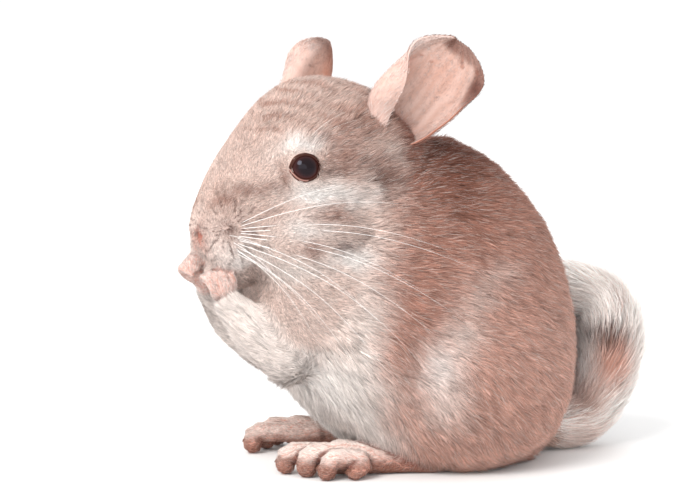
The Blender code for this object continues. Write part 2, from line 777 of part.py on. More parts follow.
def part_tail(tail):
    """Parts the tail into its root, its shaft and its tip."""
    stations = tail_stations()
    cuts = [tail_place(stations, stations[4][-1] * share, 0, -1)[:2] for share in TAIL_PARTS]
    root = copy_of(tail, "tail_root")
    shaft = copy_of(tail, "tail_shaft")
    tip = tail
    tip.name = "tail_tip"
    clip(root, cuts[0][0] - cuts[0][1] * GAP, -cuts[0][1], "MANIFOLD")
    clip(shaft, cuts[0][0], cuts[0][1], "MANIFOLD")
    clip(shaft, cuts[1][0] - cuts[1][1] * GAP, -cuts[1][1], "MANIFOLD")
    clip(tip, cuts[1][0], cuts[1][1], "MANIFOLD")
    for node in (root, shaft, tip):
        simplified(keep_largest(node))
    return [root, shaft, tip]


def clear_of(obj, others, solver="EXACT"):
    """Trims obj so that it stops short of each of the others by the gap."""
    for other in others:
        tool = swollen(other, GAP)
        combine(obj, tool, "DIFFERENCE", solver)
        remove(tool)
    return keep_largest(obj)


def centre(objects):
    """Moves everything so that the origin is under the middle of the whole model."""
    points = [vert.co for obj in objects for vert in obj.data.vertices]
    shift = Vector([-(min(p[axis] for p in points) + max(p[axis] for p in points)) / 2 for axis in (0, 1)] + [0])
    for obj in objects:
        obj.data.transform(Matrix.Translation(shift))


def finish(objects, made_material):
    for obj in objects:
        obj.data.materials.clear()
        obj.data.materials.append(made_material)
        obj.data.shade_smooth()
        obj.data.set_sharp_from_angle(angle=math.radians(50))


def main():
    clear_scene()
    fur = material("fur_beige", FUR_BEIGE, 0.9)
    pale_fur = material("fur_pale", FUR_PALE, 0.9)
    skin = material("bare_skin", SKIN_PINK, 0.6)
    dark = material("eye_dark", EYE_DARK, 0.08)

    body = make_body()
    whole = copy_of(body, "whole")
    eyes = make_eyes(body)
    carve_nose_and_mouth(body)
    trunk = part_body(body)

    ears = [make_ear("left", 1), make_ear("right", -1)]
    for ear in ears:
        clear_of(ear, [whole])

    limbs = []
    for which, (elbow, wrist, palm), curl in (
        ("left", LEFT_FORELEG, -HEAD_LEFT),
        ("right", RIGHT_FORELEG, HEAD_LEFT),
    ):
        foreleg = make_foreleg("foreleg_" + which, elbow, wrist)
        clear_of(foreleg, [whole])
        paw = make_forepaw("forepaw_" + which, wrist, palm, curl)
        clear_of(paw, [whole, foreleg])
        limbs += [foreleg, paw]
    for which, side, shift in (("left", 1, Vector((0, 0, 0))), ("right", -1, RIGHT_FOOT_SHIFT)):
        foot = make_hind_foot("hind_foot_" + which, side, shift)
        clear_of(foot, [whole])
        limbs.append(foot)

    tail = make_tail()
    simplified(clip(tail, (0, 0, 0), (0, 0, 1), "MANIFOLD"))
    simplified(clear_of(tail, [whole], "MANIFOLD"))
    tail_parts = part_tail(tail)
    remove(whole)
    centre(trunk + eyes + ears + limbs + tail_parts)

    finish(trunk + tail_parts, fur)
    finish(limbs, pale_fur)
    finish(ears, skin)
    finish(eyes, dark)


main()
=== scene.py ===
"""The looks of the sitting chinchilla: one skin, a coat of fine mesh hairs, eyes, ears, claws and whiskers.

Metres, +Z up. The animal faces -X, its own left side is -Y and the floor is z = 0.
Places are given as part.py gives them, before it centres the model. The vector that main() calls moved
brings them into the built frame.
"""

import itertools
import math

import bmesh
import bpy
import numpy as np
from mathutils import Matrix, Vector
from mathutils.bvhtree import BVHTree

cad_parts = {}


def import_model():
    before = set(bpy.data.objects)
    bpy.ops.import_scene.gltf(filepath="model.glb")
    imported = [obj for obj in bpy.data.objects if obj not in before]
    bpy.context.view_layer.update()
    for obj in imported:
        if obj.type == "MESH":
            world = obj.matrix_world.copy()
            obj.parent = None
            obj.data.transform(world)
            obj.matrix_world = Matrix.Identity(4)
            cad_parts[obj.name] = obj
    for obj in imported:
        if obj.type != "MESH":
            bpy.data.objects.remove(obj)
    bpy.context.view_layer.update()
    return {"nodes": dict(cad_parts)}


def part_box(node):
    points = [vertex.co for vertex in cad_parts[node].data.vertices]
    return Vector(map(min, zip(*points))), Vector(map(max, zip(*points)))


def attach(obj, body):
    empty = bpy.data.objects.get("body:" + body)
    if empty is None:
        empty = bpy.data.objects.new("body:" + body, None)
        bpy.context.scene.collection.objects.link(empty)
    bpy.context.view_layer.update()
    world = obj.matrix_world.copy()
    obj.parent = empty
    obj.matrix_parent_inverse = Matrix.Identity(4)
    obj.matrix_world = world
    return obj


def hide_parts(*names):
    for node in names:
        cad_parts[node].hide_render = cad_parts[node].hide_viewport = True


MM = 0.001
UP = Vector((0, 0, 1))

# The camera stands where the photo's stood: angles in degrees, focal length in pixels of the photo.
CAMERA_AZIMUTH = -12
CAMERA_RISE = 4.5
CAMERA_DISTANCE = 0.70
CAMERA_TARGET = Vector((-0.0245, 0, 0.077))
FOCAL_PIXELS = 1925
PHOTO_WIDTH = 700
SENSOR_WIDTH = 36

# Studio light: name, strength, spread in degrees and the side it comes from.
LIGHTS = (
    ("key", 2.25, 30, (-0.80, -0.75, 0.85)),
    ("fill", 1.15, 60, (-0.35, -1.0, 0.05)),
)
LIGHT_COLOUR = (1.0, 0.98, 0.955)
WORLD_STRENGTH = 1.05

# The front end of the left hind foot as part.py gives it, from which the centring shift is found.
FOOT_FRONT = -0.0559

# Where along a hair its middle colour lies, and half the side of a hair's patch in the unwrap.
HAIR_MIDDLE = 0.30
PATCH = 0.0015

# Most hairs in a piece of the coat, pieces of the tail's coat, and hairs on each ear.
PIECE_HAIRS = 90000
TAIL_PIECES = 2
EAR_HAIRS = 9000

# The head's own frame: the nose tip, and the turn of the head to the animal's left.
NOSE_TIP = Vector((-0.0863, -0.0240, 0.0875))
HEAD_TURN = math.radians(18)
HEAD_BACK = Vector((math.cos(HEAD_TURN), math.sin(HEAD_TURN), 0))
HEAD_LEFT = Vector((math.sin(HEAD_TURN), -math.cos(HEAD_TURN), 0))

# Nodes of flesh that the one skin replaces, with how far the skin lies inside them, the length and
# width of the hair there, and the hairs on a square millimetre.
FLESH = {
    "torso": (0.0030, 0.0064, 0.00034, 8.4),
    "neck": (0.0028, 0.0062, 0.00034, 8.4),
    "head": (0.0020, 0.0050, 0.00032, 10.0),
    "haunch_left": (0.0028, 0.0060, 0.00034, 8.4),
    "haunch_right": (0.0028, 0.0060, 0.00034, 8.4),
    "foreleg_left": (0.0014, 0.0046, 0.00032, 10.0),
    "foreleg_right": (0.0014, 0.0046, 0.00032, 10.0),
    "forepaw_left": (0.0003, 0.0012, 0.00019, 15.0),
    "forepaw_right": (0.0003, 0.0012, 0.00019, 15.0),
    "hind_foot_left": (0.0003, 0.0016, 0.00021, 15.0),
    "hind_foot_right": (0.0003, 0.0016, 0.00021, 15.0),
    "tail": (0.0, 0.0060, 0.00040, 7.0),
}
SKIN_VOXEL = 0.00048
SKIN_TRIANGLES = 190000

# How far the nodes of flesh are swollen before they are melted together.
SKIN_SWELL = 0.00022

# Size of a tuft of hairs that lean together, as a share of the hair's length.
TUFT_SHARE = 0.20
BIG_TUFT = 0.0065

# Sides of the tail's core, and parts of each of the tail's hairs.
CORE_SIDES = 20
TAIL_STEPS = 3

# The tail's middle line from the rump, with the radius of its core and that of its long hair.
TAIL_LINE = (
    (0.0420, 0.0030, 0.0110, 0.0090, 0.0120),
    (0.0560, 0.0060, 0.0105, 0.0086, 0.0120),
    (0.0670, 0.0080, 0.0130, 0.0082, 0.0130),
    (0.0735, 0.0090, 0.0220, 0.0078, 0.0145),
    (0.0775, 0.0100, 0.0350, 0.0074, 0.0160),
    (0.0785, 0.0120, 0.0460, 0.0070, 0.0160),
    (0.0755, 0.0160, 0.0540, 0.0060, 0.0155),
    (0.0660, 0.0220, 0.0550, 0.0044, 0.0150),
)
TAIL_HAIRS = 27000

# Ears, as part.py has them: base, the way each points and the way its cup opens, in the head's frame.
EARS = {
    "left": (Vector((0.0672, 0.0185, 0.0295)), Vector((0.36, 0.44, 0.77)), Vector((-0.40, 0.90, -0.10))),
    "right": (Vector((0.0575, 0.0255, 0.0300)), Vector((0.48, 0.36, 0.80)), Vector((-0.65, 0.75, 0.0))),
}
EAR_LENGTH = 0.0442
EAR_THICKNESS = 0.0009
# Share of the length, width of the front half and of the back half, bend, rolls of the two margins.
EAR_SECTIONS = (
    (0.00, 0.0130, 0.0120, 300, 0, 0),
    (0.10, 0.0205, 0.0138, 200, 70, 30),
    (0.22, 0.0258, 0.0160, 120, 140, 80),
    (0.34, 0.0275, 0.0176, 90, 150, 95),
    (0.46, 0.0260, 0.0190, 70, 140, 98),
    (0.58, 0.0228, 0.0196, 60, 115, 95),
    (0.68, 0.0193, 0.0196, 55, 82, 75),
    (0.78, 0.0153, 0.0186, 50, 42, 35),
    (0.86, 0.0115, 0.0168, 45, 12, 5),
    (0.93, 0.0072, 0.0133, 40, 0, 0),
    (0.98, 0.0032, 0.0086, 35, 0, 0),
    (1.00, 0.0012, 0.0052, 30, 0, 0),
)
FRONT_ROLL = (0.45, 0.80)
BACK_ROLL = (0.62, 1.00)
EAR_ROWS = 48
EAR_COLUMNS = 48

# Eyes, in the head's frame: the left one's gaze, the ball's radius and the opening between the lids.
EYE_GAZE = Vector((-0.30, 0.94, 0.10)).normalized()
EYE_RADIUS = 0.0058
LID_WIDTH = 0.0099
LID_HEIGHT = 0.0091

# Colours, as the eye sees them, 0 to 255. They are turned into linear light where they are used.
CREAM = (244, 234, 228)
WHITE = (252, 248, 245)
VEIL = (192, 138, 120)
DEEP = (134, 82, 66)
ROSE = (222, 174, 158)
GREY_BEIGE = (226, 202, 192)
BROWN_FACE = (196, 146, 126)
DARK_STROKE = (104, 70, 60)
SHADED = (164, 116, 100)
# MOUTH is painted shade: the dark of the mouth's slit and of the nostrils.
MOUTH = (92, 52, 44)
PINK_SKIN = (214, 160, 144)
SKIN_RED = (176, 104, 88)

# Marks of the tail's near side in the body's frame: centre and radii in millimetres along X and Z,
# colour and strength.
TAIL_MARKS = (
    ((76, 33), (9, 10), (196, 134, 112), 0.9),  # streaks below the patch
    ((74.5, 43.5), (10.5, 5.0), (82, 42, 30), 1.0),  # dark patch: brown hair with painted shade under the bend
    ((64, 20), (10, 7), (178, 120, 98), 0.8),  # root
    ((68, 4), (18, 5.5), (206, 148, 126), 0.5),  # underside
    ((62, 37), (4.5, 9), WHITE, 0.9),  # gap by the body
    ((71, 51), (12, 2.6), WHITE, 0.95),  # band of the tip
    ((66, 57), (9, 3.5), (214, 198, 192), 0.6),  # above the band
    ((80, 57), (2.6, 3.6), (122, 70, 54), 0.95),  # whorl
)

# Marks of the face in the head's frame, left side: centre and radii in millimetres, colour, strength.
FACE_MARKS = (
    ((7, 7, -5), (9, 9, 10), WHITE, 0.20),  # muzzle
    ((14, 14, -10), (9, 9, 6), WHITE, 0.65),  # pad
    ((10, 6, 10), (9, 8, 8), (206, 172, 158), 0.6),  # bridge
    ((8, 10, 8.5), (5, 6, 2.2), SHADED, 0.70),  # arc over the whiskers
    ((14, 14.5, 12.3), (6, 6, 2.0), SHADED, 0.60),  # arc, middle
    ((20, 17.5, 13), (5, 6, 2.2), SHADED, 0.45),  # arc, back
    ((26, 20.5, 16.5), (2.6, 5, 4.5), SHADED, 0.75),  # front corner of the eye
    ((40, 27, 19.4), (5, 8, 2.2), DARK_STROKE, 0.55),  # streak behind the eye
    ((46, 29, 18.5), (6, 8, 2.8), SHADED, 0.85),  # streak, back
    ((36, 26, 11.5), (10, 9, 4.2), WHITE, 0.98),  # below the eye
    ((46, 29, 9.5), (7, 8, 3.6), WHITE, 0.65),  # below the eye, back
    ((33, 22.5, 28.6), (6.5, 8, 3.4), WHITE, 0.95),  # above the eye
    ((25, 17, 25), (6, 8, 5), CREAM, 0.30),  # before the eye
    ((41, 26, 29.5), (6, 8, 2.6), SHADED, 0.60),  # over the white
    ((52, 28, 33), (9, 10, 5), SHADED, 0.65),  # temple
    ((46, 28.7, 24), (7, 8, 3.6), SHADED, 0.80),  # temple, low
    ((21, 21, 5), (7, 8, 4), (200, 166, 154), 0.5),  # cheek, fore
    ((29, 28, 0), (7, 8, 4), WHITE, 0.70),  # cheek, white
    ((40, 31, 4.5), (7, 8, 3.6), SHADED, 0.75),  # cheek, brown
    ((43, 33, -6.0), (5.5, 8, 1.5), DARK_STROKE, 0.85),  # cheek, dark streak
    ((49, 33, -1.5), (4, 8, 1.8), DARK_STROKE, 0.70),  # cheek, streak back
    ((31, 30, -7), (5, 8, 2.6), SHADED, 0.60),  # cheek, low brown
    ((27, 25, -14), (9, 9, 4), CREAM, 0.8),  # jaw
    ((46, 32, -10.5), (9, 10, 3.8), WHITE, 0.85),  # under the dark streak
    ((59, 32, 18), (5.5, 8, 7), SHADED, 0.95),  # crease, painted shade
    ((62, 34, 5), (5, 8, 7), SHADED, 0.65),  # crease, low, painted shade
    ((54, 31, 11), (4, 8, 4), WHITE, 0.50),  # between the creases
    ((60, 32, 16), (6.5, 8, 1.0), DARK_STROKE, 0.85),  # crease, a line of painted shade
    ((57, 31, 23), (5.0, 8, 0.9), DARK_STROKE, 0.75),  # crease, an upper line of painted shade
    ((64, 26, 26), (6, 9, 5), CREAM, 0.35),  # base of the ear
    ((21, 7, -18.6), (4.5, 6, 1.2), MOUTH, 0.50),  # mouth: painted shade in its slit
    ((9.5, 12, -1), (5, 6, 5), (196, 158, 146), 0.5),  # whorl, shade
    ((3.2, 2.4, -5.5), (2.6, 3.4, 3.4), (226, 164, 146), 0.75),  # nose
    ((2.4, 3.2, -2.8), (1.5, 1.5, 1.7), MOUTH, 0.95),  # nostril: painted shade in the opening
)

# Marks of the body in its own frame, left side: centre and radii in millimetres, colour, strength.
BODY_MARKS = (
    ((2, -24, 112), (13, 17, 9), (84, 42, 30), 0.92),  # behind the ear: dark brown fur with painted shade from the ear
    ((14, -16, 112), (16, 26, 9), DEEP, 0.75),  # top of the back
    ((3, -36, 100), (9, 13, 10), DEEP, 0.85),  # shoulder
    ((-11, -43, 86), (4.5, 14, 9), VEIL, 0.90),  # fold behind the cheek: the veil's brown with painted shade in the fold
    ((-13, -47, 67), (6.0, 14, 9), VEIL, 0.90),  # fold, middle: the veil's brown with painted shade
    ((-17, -48, 55), (6.0, 14, 7), VEIL, 0.80),  # fold, low: the veil's brown with painted shade
    ((-6, -50, 41), (8, 18, 10), WHITE, 0.80),  # front of the haunch
    ((-9, -50, 59), (5.5, 14, 6), VEIL, 0.75),  # fold, between: the veil's brown with painted shade
    ((-17, -48, 44), (4.5, 14, 6), SHADED, 0.50),  # fold, lowest: painted shade
    ((-40, -38, 48), (7, 14, 8), (222, 194, 182), 0.6),  # side of the chest
    ((2, -50, 53), (6.5, 16, 7), CREAM, 0.60),  # light streak
    ((8, -47, 64), (8, 14, 5), CREAM, 0.40),  # light streak, high
    ((16, -44, 73), (9, 12, 4), CREAM, 0.40),  # light streak, top
    ((-3, -50, 27), (9, 18, 8), CREAM, 0.55),  # haunch, low front
    ((8, -52, 27), (7, 14, 7), VEIL, 0.50),  # haunch, brown
    ((22.5, -51.8, 44.7), (3.2, 9, 0.9), DEEP, 0.85),  # crack on the flank: painted shade in a parting of the fur
    ((19.5, -39.7, 84.6), (4.0, 9, 0.8), DEEP, 0.70),  # crack, high: painted shade in a parting of the fur
    ((9, -43, 78), (4.5, 9, 0.9), DEEP, 0.65),  # crack, middle: painted shade in a parting of the fur
    ((6, -46, 8), (22, 22, 7), ROSE, 0.7),  # foot of the haunch
    ((37, -30, 36), (15, 28, 26), ROSE, 0.60),  # rump
    ((-46, -34, 34), (12, 22, 16), WHITE, 0.7),  # chest
)

# Whiskers of the left side in the head's frame, in millimetres: root, then tip.
WHISKERS = (
    ((12, 13.0, -1.0), (81, 53, -13)),
    ((12, 13.0, 0.0), (73, 51, -7)),
    ((12.5, 13.5, -2.5), (73, 54, -28)),
    ((12.5, 13.5, -4.0), (66, 53, -35)),
    ((12, 13.5, -5.0), (60, 50, -42)),
    ((11.5, 13.0, -6.0), (50, 47, -46)),
    ((11, 13.0, -7.0), (40, 43, -44)),
    ((10.5, 12.5, -6.0), (30, 38, -38)),
    ((13, 14.0, 1.0), (56, 47, 9)),
    ((13, 14.0, 2.0), (44, 40, 16)),
    ((10, 12.0, -4.0), (24, 34, -26)),
    ((9, 11.0, -2.0), (20, 30, -10)),
    ((13, 14.0, -1.5), (62, 51, -20)),
    ((12, 13.5, -3.2), (48, 46, -30)),
    ((11, 13.0, -8.0), (34, 36, -34)),
)

# Toes of a hind foot as part.py has them: sideways place, tip and radius.
TOES = (
    (0.0054, -0.0560, 0.0037),
    (-0.0012, -0.0500, 0.0039),
    (-0.0074, -0.0440, 0.0036),
    (-0.0090, -0.0335, 0.0025),
)
FOOT_SIDE = -0.0285
RIGHT_FOOT_SHIFT = Vector((-0.0050, -0.0025, 0))

# Rims of the lids: distance out from the opening and height over the ball.
LID_PROFILE = (
    (-0.00055, 0.00005),
    (-0.00030, 0.00035),
    (0.0, 0.00048),
    (0.00035, 0.00042),
    (0.0009, 0.00010),
    (0.0018, -0.00050),
    (0.0032, -0.00135),
)


def linear(colour):
    """A colour of 0 to 255 in linear light."""
    c = np.asarray(colour, float) / 255
    return np.where(c <= 0.04045, c / 12.92, ((c + 0.055) / 1.055) ** 2.4)


def step(low, high, value):
    """0 at low and 1 at high, with a smooth rise between them."""
    t = np.clip((value - low) / (high - low), 0, 1)
    return t * t * (3 - 2 * t)


def unit(vectors):
    return vectors / np.maximum(np.linalg.norm(vectors, axis=-1, keepdims=True), 1e-12)


def hashed(cells, seed):
    """A random value from 0 to 1 for each cell of a grid."""
    h = cells[:, 0] * 73856093 ^ cells[:, 1] * 19349663 ^ cells[:, 2] * 83492791
    h = (h ^ seed * 668265263) & 0xFFFFFFFF
    h = (h ^ (h >> 15)) * 2246822519 & 0xFFFFFFFF
    h = (h ^ (h >> 13)) * 3266489917 & 0xFFFFFFFF
    return (h ^ (h >> 16)) / 0xFFFFFFFF


def noise(points, size, seed=0):
    """Smooth noise from -1 to 1 with features of about the size given."""
    q = np.asarray(points, float) / size + 1000.0
    cell = np.floor(q).astype(np.int64)
    f = q - cell
    f = f * f * (3 - 2 * f)
    total = np.zeros(len(q))
    for corner in itertools.product((0, 1), repeat=3):
        weight = np.prod(np.where(np.array(corner) == 1, f, 1 - f), axis=1)
        total += hashed(cell + np.array(corner), seed) * weight
    return total * 2 - 1


def tufts(points, sizes, seed):
    """The way from each point to the middle of its tuft, how far out it is, and the tuft's own values."""
    q = points / sizes[:, None] + 1000.0
    cell = np.floor(q).astype(np.int64)
    nearest = np.full(len(q), np.inf)
    second = np.full(len(q), np.inf)
    inward = np.zeros_like(q)
    values = np.zeros((len(q), 3))
    for offset in itertools.product((-1, 0, 1), repeat=3):
        near = cell + np.array(offset)
        jitter = np.stack([hashed(near, seed + k) for k in range(3)], axis=1)
        away = near + 0.1 + 0.8 * jitter - q
        distance = np.linalg.norm(away, axis=1)
        closer = distance < nearest
        second = np.where(closer, nearest, np.minimum(second, distance))
        nearest = np.where(closer, distance, nearest)
        inward[closer] = away[closer]
        values[closer] = np.stack([hashed(near[closer], seed + 7 + k) for k in range(3)], axis=1)
    return inward * sizes[:, None], np.clip(1 - (second - nearest) * 2.2, 0, 1), values


def resample(rows, steps):
    """Rows of numbers with a smooth curve through them, steps rows for each row given."""
    curve = []
    last = len(rows) - 1
    for i in range(last):
        around = [rows[max(i - 1, 0)], rows[i], rows[i + 1], rows[min(i + 2, last)]]
        for k in range(steps):
            t = k / steps
            weights = (
                -0.5 * t + t**2 - 0.5 * t**3,
                1 - 2.5 * t**2 + 1.5 * t**3,
                0.5 * t + 2 * t**2 - 1.5 * t**3,
                -0.5 * t**2 + 0.5 * t**3,
            )
            columns = range(len(rows[0]))
            curve.append(tuple(sum(w * row[c] for w, row in zip(weights, around)) for c in columns))
    curve.append(tuple(rows[last]))
    return curve


def head_point(behind, left, up):
    return NOSE_TIP + HEAD_BACK * behind + HEAD_LEFT * left + UP * up


def head_direction(direction):
    return HEAD_BACK * direction[0] + HEAD_LEFT * direction[1] + UP * direction[2]


def head_frame(points):
    """Points in the head's frame: behind, left and up from the nose tip."""
    away = points - np.array(NOSE_TIP)
    return np.stack([away @ np.array(HEAD_BACK), away @ np.array(HEAD_LEFT), away[:, 2]], axis=1)


def bell(points, centre, radii, power=1.0):
    """1 at the centre of a soft rounded mark and 0 far away."""
    return np.exp(-np.sum(((points - np.array(centre)) / np.array(radii)) ** 2, axis=1) ** power)


def mix(base, colour, amount):
    return base + (linear(colour) - base) * np.clip(amount, 0, 1)[:, None]


def relax(values, ends, times):
    """Averages values over neighbouring points, so many times."""
    values = np.asarray(values, float)
    table = values.reshape(len(values), -1)
    count = np.maximum(np.bincount(ends.ravel(), minlength=len(table)), 1)[:, None]
    here, there = ends.T
    for _ in range(times):
        sums = [
            np.bincount(here, column[there], len(table)) + np.bincount(there, column[here], len(table))
            for column in table.T
        ]
        table = np.stack(sums, axis=1) / count
    return table.reshape(values.shape)


def along_skin(vectors, normals):
    """The part of the vectors that lies along the skin."""
    return vectors - normals * np.sum(vectors * normals, axis=1, keepdims=True)


# Meshes


def add_object(name, mesh):
    made = bpy.data.objects.new(name, mesh)
    bpy.context.scene.collection.objects.link(made)
    return made


def dress(obj, material):
    obj.data.materials.clear()
    obj.data.materials.append(material)
    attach(obj, "root")


def apply_modifiers(obj):
    graph = bpy.context.evaluated_depsgraph_get()
    mesh = bpy.data.meshes.new_from_object(obj.evaluated_get(graph))
    obj.modifiers.clear()
    obj.data = mesh


def mesh_of(name, verts, faces, colours=None):
    """A mesh from arrays. faces is an array with one row of corners for each face."""
    mesh = bpy.data.meshes.new(name)
    verts = np.asarray(verts, np.float32).reshape(-1, 3)
    faces = np.asarray(faces, np.int32)
    mesh.vertices.add(len(verts))
    mesh.vertices.foreach_set("co", verts.ravel())
    mesh.loops.add(faces.size)
    mesh.loops.foreach_set("vertex_index", faces.ravel())
    mesh.polygons.add(len(faces))
    mesh.polygons.foreach_set("loop_start", np.arange(len(faces), dtype=np.int32) * faces.shape[1])
    mesh.update(calc_edges=True)
    smooth(mesh)
    if colours is not None:
        set_colours(mesh, colours)
    return mesh


def smooth(mesh):
    mesh.polygons.foreach_set("use_smooth", np.ones(len(mesh.polygons), bool))


def set_colours(mesh, colours):
    layer = mesh.color_attributes.new("coat", "FLOAT_COLOR", "POINT")
    rgba = np.ones((len(mesh.vertices), 4), np.float32)
    rgba[:, :3] = colours
    layer.data.foreach_set("color", rgba.ravel())


def set_normals(mesh, vectors):
    layer = mesh.attributes.new("custom_normal", "FLOAT_VECTOR", "POINT")
    layer.data.foreach_set("vector", np.ascontiguousarray(vectors, np.float32).ravel())


def set_unwrap(mesh, corners):
    layer = mesh.uv_layers.new(name="OFBake")
    layer.data.foreach_set("uv", np.ascontiguousarray(corners, np.float32).ravel())


def read(items, key, width, kind=np.float32):
    """A property of all the items, as an array of that many columns."""
    values = np.empty(len(items) * width, kind)
    items.foreach_get(key, values)
    return values.reshape(-1, width)


def positions(mesh):
    return read(mesh.vertices, "co", 3).astype(float)


def normals_of(mesh):
    return read(mesh.vertex_normals, "vector", 3).astype(float)


def edges_of(mesh):
    return read(mesh.edges, "vertices", 2, np.int32)


def unwrap_of(mesh):
    return read(mesh.uv_layers["OFBake"].data, "uv", 2)


def face_outward(mesh):
    shape = bmesh.new()
    shape.from_mesh(mesh)
    bmesh.ops.recalc_face_normals(shape, faces=shape.faces)
    shape.to_mesh(mesh)
    shape.free()


def unwrap(obj, margin):
    """Unwraps the whole piece with that margin between its islands."""
    obj.data.uv_layers.new(name="OFBake")
    bpy.context.view_layer.objects.active = obj
    obj.select_set(True)
    bpy.ops.object.mode_set(mode="EDIT")
    bpy.ops.mesh.select_all(action="SELECT")
    bpy.ops.uv.smart_project(angle_limit=math.radians(66), island_margin=margin)
    bpy.ops.object.mode_set(mode="OBJECT")
    obj.select_set(False)


def tube_mesh(points, radii, sides):
    """Vertices and quads of a tube along points, as arrays."""
    points = [Vector(point) for point in points]
    rings = []
    side = None
    for i, point in enumerate(points):
        tangent = (points[min(i + 1, len(points) - 1)] - points[max(i - 1, 0)]).normalized()
        if side is None:
            side = tangent.orthogonal()
        side = (side - tangent * side.dot(tangent)).normalized()
        other = tangent.cross(side)
        for k in range(sides):
            angle = math.tau * k / sides
            rings.append(point + (side * math.cos(angle) + other * math.sin(angle)) * radii[i])
    faces = []
    for i in range(len(points) - 1):
        for k in range(sides):
            after = (k + 1) % sides
            faces.append((i * sides + k, i * sides + after, (i + 1) * sides + after, (i + 1) * sides + k))
    return np.array(rings), np.array(faces)


def joined_tubes(name, lines, colour, material, sides=5):
    """One piece of tapered tubes. Each line is (points, radius at the root)."""
    verts, faces, base = [], [], 0
    for points, radius in lines:
        rows = resample([tuple(point) for point in points], 5)
        radii = [radius * (1 - 0.88 * i / (len(rows) - 1)) for i in range(len(rows))]
        tube_verts, tube_faces = tube_mesh(rows, radii, sides)
        verts.append(tube_verts)
        faces.append(tube_faces + base)
        base += len(tube_verts)
    mesh = mesh_of(name, np.concatenate(verts), np.concatenate(faces), np.tile(linear(colour), (base, 1)))
    dress(add_object(name, mesh), material)


def painted_material(
    name, roughness, grain, grain_size=1400.0, sheen=0.05, bump=0.0, specular=0.12, place="Object"
):
    """Reads the painted colours, and breaks them up with a fine grain."""
    made = bpy.data.materials.new(name)
    made.use_nodes = True
    nodes, links = made.node_tree.nodes, made.node_tree.links
    shader = nodes["Principled BSDF"]
    shader.inputs["Roughness"].default_value = roughness
    shader.inputs["Specular IOR Level"].default_value = specular
    shader.inputs["Sheen Weight"].default_value = sheen
    paint_in = nodes.new("ShaderNodeAttribute")
    paint_in.attribute_name = "coat"
    where = nodes.new("ShaderNodeTexCoord")
    speckle = nodes.new("ShaderNodeTexNoise")
    speckle.inputs["Scale"].default_value = grain_size
    links.new(where.outputs[place], speckle.inputs["Vector"])
    spread = nodes.new("ShaderNodeMapRange")
    spread.inputs["To Min"].default_value = 1 - grain
    spread.inputs["To Max"].default_value = 1 + grain
    links.new(speckle.outputs["Fac"], spread.inputs["Value"])
    tint = nodes.new("ShaderNodeMix")
    tint.data_type = "RGBA"
    tint.blend_type = "MULTIPLY"
    tint.inputs["Factor"].default_value = 1
    links.new(paint_in.outputs["Color"], tint.inputs["A"])
    links.new(spread.outputs["Result"], tint.inputs["B"])
    links.new(tint.outputs["Result"], shader.inputs["Base Color"])
    if bump:
        raised = nodes.new("ShaderNodeBump")
        raised.inputs["Strength"].default_value = bump
        raised.inputs["Distance"].default_value = 0.0004
        links.new(speckle.outputs["Fac"], raised.inputs["Height"])
        links.new(raised.outputs["Normal"], shader.inputs["Normal"])
    return made


# Skin


def on_nodes(owner, *words):
    """Which points belong to a node of flesh that has one of the words in its name."""
    return np.isin(owner, [i for i, name in enumerate(FLESH) if any(word in name for word in words)])


def tail_core(moved):
    """The core of the tail with a rounded tip."""
    rows = resample(TAIL_LINE, 8)
    line = [Vector(row[:3]) + moved for row in rows]
    radii = [row[3] for row in rows]
    end, radius = line[-1], radii[-1]
    ahead = (end - line[-2]).normalized()
    for turn in map(math.radians, (25, 50, 75)):
        line.append(end + ahead * radius * math.sin(turn))
        radii.append(radius * math.cos(turn))
    verts, faces = tube_mesh(line, radii, CORE_SIDES)
    corners = range(len(verts))
    caps = [corners[CORE_SIDES - 1::-1], corners[-CORE_SIDES:]]
    mesh = bpy.data.meshes.new("tail_core")
    mesh.from_pydata(verts.tolist(), [], faces.tolist() + [list(cap) for cap in caps])
    face_outward(mesh)
    return mesh


def swollen(source):
    """A copy of a node's mesh, a little swollen."""
    mesh = source.copy()
    shape = bmesh.new()
    shape.from_mesh(mesh)
    bmesh.ops.remove_doubles(shape, verts=shape.verts, dist=1e-6)
    shape.normal_update()
    for vert in shape.verts:
        vert.co += vert.normal * SKIN_SWELL
    shape.to_mesh(mesh)
    shape.free()
    return mesh


